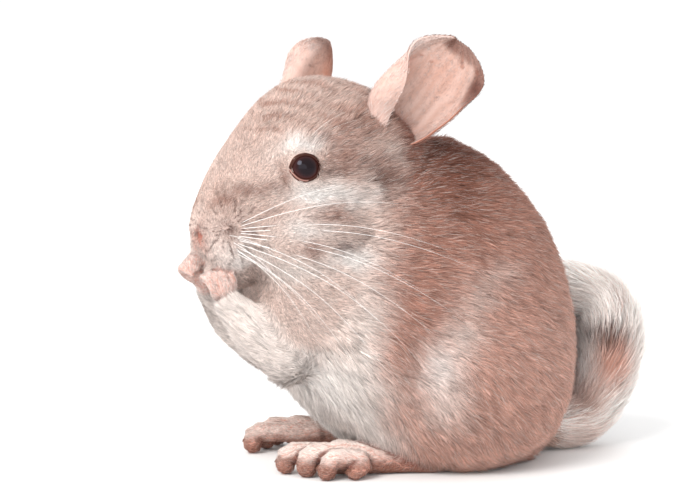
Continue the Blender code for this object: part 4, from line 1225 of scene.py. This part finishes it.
def make_ear_down(name, side, moved, material):
    """Fine short hair on both faces of the ear, long and pale at its front margin and its base."""
    count = EAR_HAIRS
    draw = np.random.default_rng(71 if side > 0 else 72)
    grid, shares, down, sideways, out = ear_sheet(side)
    f = draw.uniform(0.02, 0.985, count) * EAR_ROWS
    g = draw.uniform(0.0, 1.0, count) * EAR_COLUMNS
    inner = draw.uniform(0, 1, count) < 0.45
    i, k = np.minimum(f.astype(int), EAR_ROWS - 1), np.minimum(g.astype(int), EAR_COLUMNS - 1)
    a, b = (f - i)[:, None], (g - k)[:, None]

    def at(table):
        return (
            table[i, k] * (1 - a) * (1 - b) + table[i + 1, k] * a * (1 - b)
            + table[i, k + 1] * (1 - a) * b + table[i + 1, k + 1] * a * b
        )

    spot, along, across, normal = at(grid), unit(at(unit(down))), unit(at(sideways)), unit(at(out))
    normal = np.where(inner[:, None], normal, -normal)
    share = np.interp(f / EAR_ROWS, np.linspace(0, 1, EAR_ROWS + 1), shares)
    u = g / EAR_COLUMNS * 2 - 1
    lie = unit(along + across * (u * 0.25 + draw.normal(0, 0.16, count))[:, None])
    front = bell(u[:, None], -1.0, 0.28)
    low = step(0.42, 0.10, share)
    length = np.where(inner, 0.0015, 0.0017) * (1 + 0.5 * front + 1.3 * low) * draw.uniform(0.6, 1.2, count)
    length *= 1 - 0.5 * np.maximum(step(0.90, 1.0, share), step(0.90, 1.0, np.abs(u)))
    furred = np.where(inner, 0.30, 0.12 + 0.28 * step(-0.30, -0.62, u)) * draw.uniform(0.3, 1.3, count)
    furred *= 1 - 0.85 * np.maximum(step(0.80, 0.90, share), step(0.60, 0.80, u) * step(0.5, 0.7, share))
    colour = mix(ear_colours(side, share, u, inner, spot), (252, 244, 240), np.minimum(furred, 0.9))
    hairs = {
        "root": spot + normal * (EAR_THICKNESS / 2 - 0.00005) + np.array(moved),
        "normal": normal,
        "lie": lie,
        "length": length,
        "width": 0.00017 * draw.uniform(0.7, 1.3, count) * (1 + 0.5 * front),
        "rise": length * np.where(inner, 0.20, 0.22),
        "colours": colour[:, None] * np.array((0.8, 0.95, 1.0))[:, None],
        "uv": np.stack(
            [f / EAR_ROWS * 0.9 + 0.05, g / EAR_COLUMNS * 0.4 + np.where(inner, 0.05, 0.55)], axis=1
        ),
    }
    dress(add_object(name, hair_mesh(name, hairs, draw)), material)


# Eyes, whiskers and claws


def make_eye(name, centre, gaze, material):
    """A glossy ball with a dark pupil in a red-brown iris, its lower part painted lighter as painted light.
    """
    shape = bmesh.new()
    bmesh.ops.create_uvsphere(shape, u_segments=48, v_segments=32, radius=EYE_RADIUS)
    turn = gaze.to_track_quat("Z", "Y").to_matrix().to_4x4()
    bmesh.ops.transform(shape, verts=shape.verts, matrix=Matrix.Translation(centre) @ turn)
    mesh = bpy.data.meshes.new(name)
    shape.to_mesh(mesh)
    shape.free()
    smooth(mesh)
    facing = unit(positions(mesh) - np.array(centre)) @ np.array(gaze)
    low = (positions(mesh)[:, 2] - centre.z) / EYE_RADIUS
    colours = np.tile(linear((52, 22, 18)), (len(facing), 1))
    # Painted light: the lower part of the iris is lighter red-brown, as light glowing in through the eye.
    colours = mix(colours, (78, 34, 27), step(0.1, -0.7, low) * 0.6)
    set_colours(mesh, mix(colours, (24, 11, 10), step(0.70, 0.95, facing)))
    eye = add_object(name + "_ball", mesh)
    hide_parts(name)
    dress(eye, material)


def make_lids(name, centre, gaze, material):
    """The rim of the lids round the eye, with a point at its front corner, and a skirt under the hair."""
    along = gaze.cross(UP).normalized()
    if along.dot(HEAD_BACK) > 0:
        along = -along
    above = along.cross(gaze).normalized()
    if above.z < 0:
        above = -above
    count, rows = 72, len(LID_PROFILE)
    verts, colours, faces = [], [], []
    for k in range(count):
        angle = math.tau * k / count
        c, s = math.cos(angle), math.sin(angle)
        corner = max(math.cos(angle + 0.20), 0) ** 14
        back = max(math.cos(angle - math.pi + 0.25), 0) ** 18
        half_x = LID_WIDTH / 2 * (1 + 0.10 * corner + 0.07 * back)
        half_y = LID_HEIGHT / 2 * (1 - 0.10 * corner)
        flat = along * c * half_x + above * s * half_y
        for offset, lift in LID_PROFILE:
            spread = flat.normalized() * (flat.length + offset)
            r = EYE_RADIUS + lift + 0.00004
            rest = math.sqrt(max(r * r - min(spread.length, r * 0.97) ** 2, 0))
            verts.append(centre + spread + gaze * rest)
            pale = s < -0.15 and c > -0.1 and -0.0001 < offset < 0.0003
            colours.append((176, 132, 122) if pale else (62, 34, 28) if offset < 0.0008 else (150, 108, 94))
        here, after = k * rows, (k + 1) % count * rows
        faces += [(here + j, here + j + 1, after + j + 1, after + j) for j in range(rows - 1)]
    mesh = mesh_of(name, verts, faces, linear(colours))
    face_outward(mesh)
    if np.mean(normals_of(mesh) @ np.array(gaze)) < 0:
        mesh.flip_normals()
    dress(add_object(name, mesh), material)


def make_whiskers(moved, material):
    """Long bowed whiskers at the muzzle and three short ones over each eye."""
    lines = []
    for side in (1, -1):
        out = head_direction((0.10, 0.95 * side, 0.25))
        for ends in WHISKERS:
            a, b = (head_point(x * MM, y * side * MM, z * MM) + moved for x, y, z in ends)
            reach = (b - a).length
            bow = []
            for t in (0, 0.25, 0.5, 0.75, 1):
                bulge = math.sin(t * math.pi)
                bow.append(a + (b - a) * t + out * bulge * reach * 0.07 + UP * bulge * reach * 0.05)
            lines.append((bow, 0.00007 + 0.0000006 * reach / MM))
    for side in (1, -1):
        for k in range(3):
            a = head_point(0.034 + 0.002 * k, side * 0.0205, 0.0292) + moved
            b = a + head_direction((0.010 + 0.004 * k, side * 0.008, 0.010 - 0.002 * k))
            lines.append(((a, a.lerp(b, 0.5) + UP * 0.001, b), 0.00006))
    joined_tubes("whiskers", lines, (252, 250, 248), material)


def make_claws(moved, material):
    lines = []
    for side, by in ((1, Vector((0, 0, 0))), (-1, RIGHT_FOOT_SHIFT)):
        for sideways, reach, radius in TOES:
            y = FOOT_SIDE + sideways * 1.15
            tip = Vector((reach + radius, y * side, radius * 0.92)) + by + moved
            root = tip + Vector((-radius * 0.55, 0, radius * 0.50))
            hook = [root, root + Vector((-0.0011, 0, 0.0001)), root + Vector((-0.0021, 0, -0.0009))]
            lines.append((hook, 0.00060))
    joined_tubes("claws", lines, (120, 82, 68), material, sides=8)


# Studio


def make_stage(moved):
    """A plain white floor with soft light, and the camera of the photo."""
    scene = bpy.context.scene
    corners = [(-6, -6, 0), (6, -6, 0), (6, 6, 0), (-6, 6, 0)]
    floor = add_object("floor", mesh_of("floor", corners, [(0, 1, 2, 3)]))
    white = bpy.data.materials.new("floor_white")
    white.use_nodes = True
    shader = white.node_tree.nodes["Principled BSDF"]
    shader.inputs["Base Color"].default_value = (0.92, 0.92, 0.92, 1)
    shader.inputs["Roughness"].default_value = 0.9
    floor.data.materials.append(white)

    scene.world = bpy.data.worlds.new("studio")
    scene.world.use_nodes = True
    background = scene.world.node_tree.nodes["Background"]
    background.inputs["Color"].default_value = (1, 1, 1, 1)
    background.inputs["Strength"].default_value = WORLD_STRENGTH

    for name, energy, spread, place in LIGHTS:
        light = bpy.data.lights.new(name, "SUN")
        light.energy = energy
        light.angle = math.radians(spread)
        light.color = LIGHT_COLOUR
        lamp = add_object(name, light)
        lamp.rotation_euler = Vector(place).to_track_quat("Z", "Y").to_euler()

    azimuth, rise = math.radians(CAMERA_AZIMUTH), math.radians(CAMERA_RISE)
    back = Vector((math.sin(azimuth) * math.cos(rise), -math.cos(azimuth) * math.cos(rise), math.sin(rise)))
    camera = bpy.data.cameras.new("camera")
    camera.sensor_fit = "HORIZONTAL"
    camera.sensor_width = SENSOR_WIDTH
    camera.lens = FOCAL_PIXELS / PHOTO_WIDTH * SENSOR_WIDTH
    camera.clip_start = 0.01
    scene.camera = add_object("camera", camera)
    scene.camera.location = CAMERA_TARGET + moved + back * CAMERA_DISTANCE
    scene.camera.rotation_euler = back.to_track_quat("Z", "Y").to_euler()
    scene.view_settings.view_transform = "Standard"


def main():
    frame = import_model()
    moved = Vector((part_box("hind_foot_left")[0].x - FOOT_FRONT, 0, 0))
    eyes = []
    for name in ("eye_left", "eye_right"):
        low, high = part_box(name)
        eyes.append((low + high) / 2)

    fur = painted_material("coat", 0.9, 0.12)
    hide = painted_material("hide", 0.75, 0.15, bump=0.4)
    horn = painted_material("horn", 0.45, 0.1, sheen=0.0)
    ear_skin = painted_material("ear_skin", 0.65, 0.07, grain_size=500, sheen=0.15, bump=0.25)
    wet = painted_material("eye_wet", 0.10, 0.25, 700, sheen=0.0, specular=0.22, place="Generated")
    wet.node_tree.nodes["Principled BSDF"].inputs["Specular Tint"].default_value = (0.72, 0.80, 1.0, 1)

    skin, owner = make_skin(frame["nodes"], moved, eyes)
    finish_skin(skin, owner, moved, hide)
    make_coat(skin, owner, moved, eyes, fur)
    make_tail_coat(skin, moved, fur)
    for name, side in (("ear_left", 1), ("ear_right", -1)):
        make_ear(name, side, moved, ear_skin)
        make_ear_down(name + "_down", side, moved, fur)
    for name, side, centre in (("left", 1, eyes[0]), ("right", -1, eyes[1])):
        gaze = head_direction(Vector((EYE_GAZE.x, side * EYE_GAZE.y, EYE_GAZE.z)))
        make_eye(f"eye_{name}", centre, gaze, wet)
        make_lids(f"lids_{name}", centre, gaze, horn)
    make_whiskers(moved, horn)
    make_claws(moved, horn)
    make_stage(moved)


main()
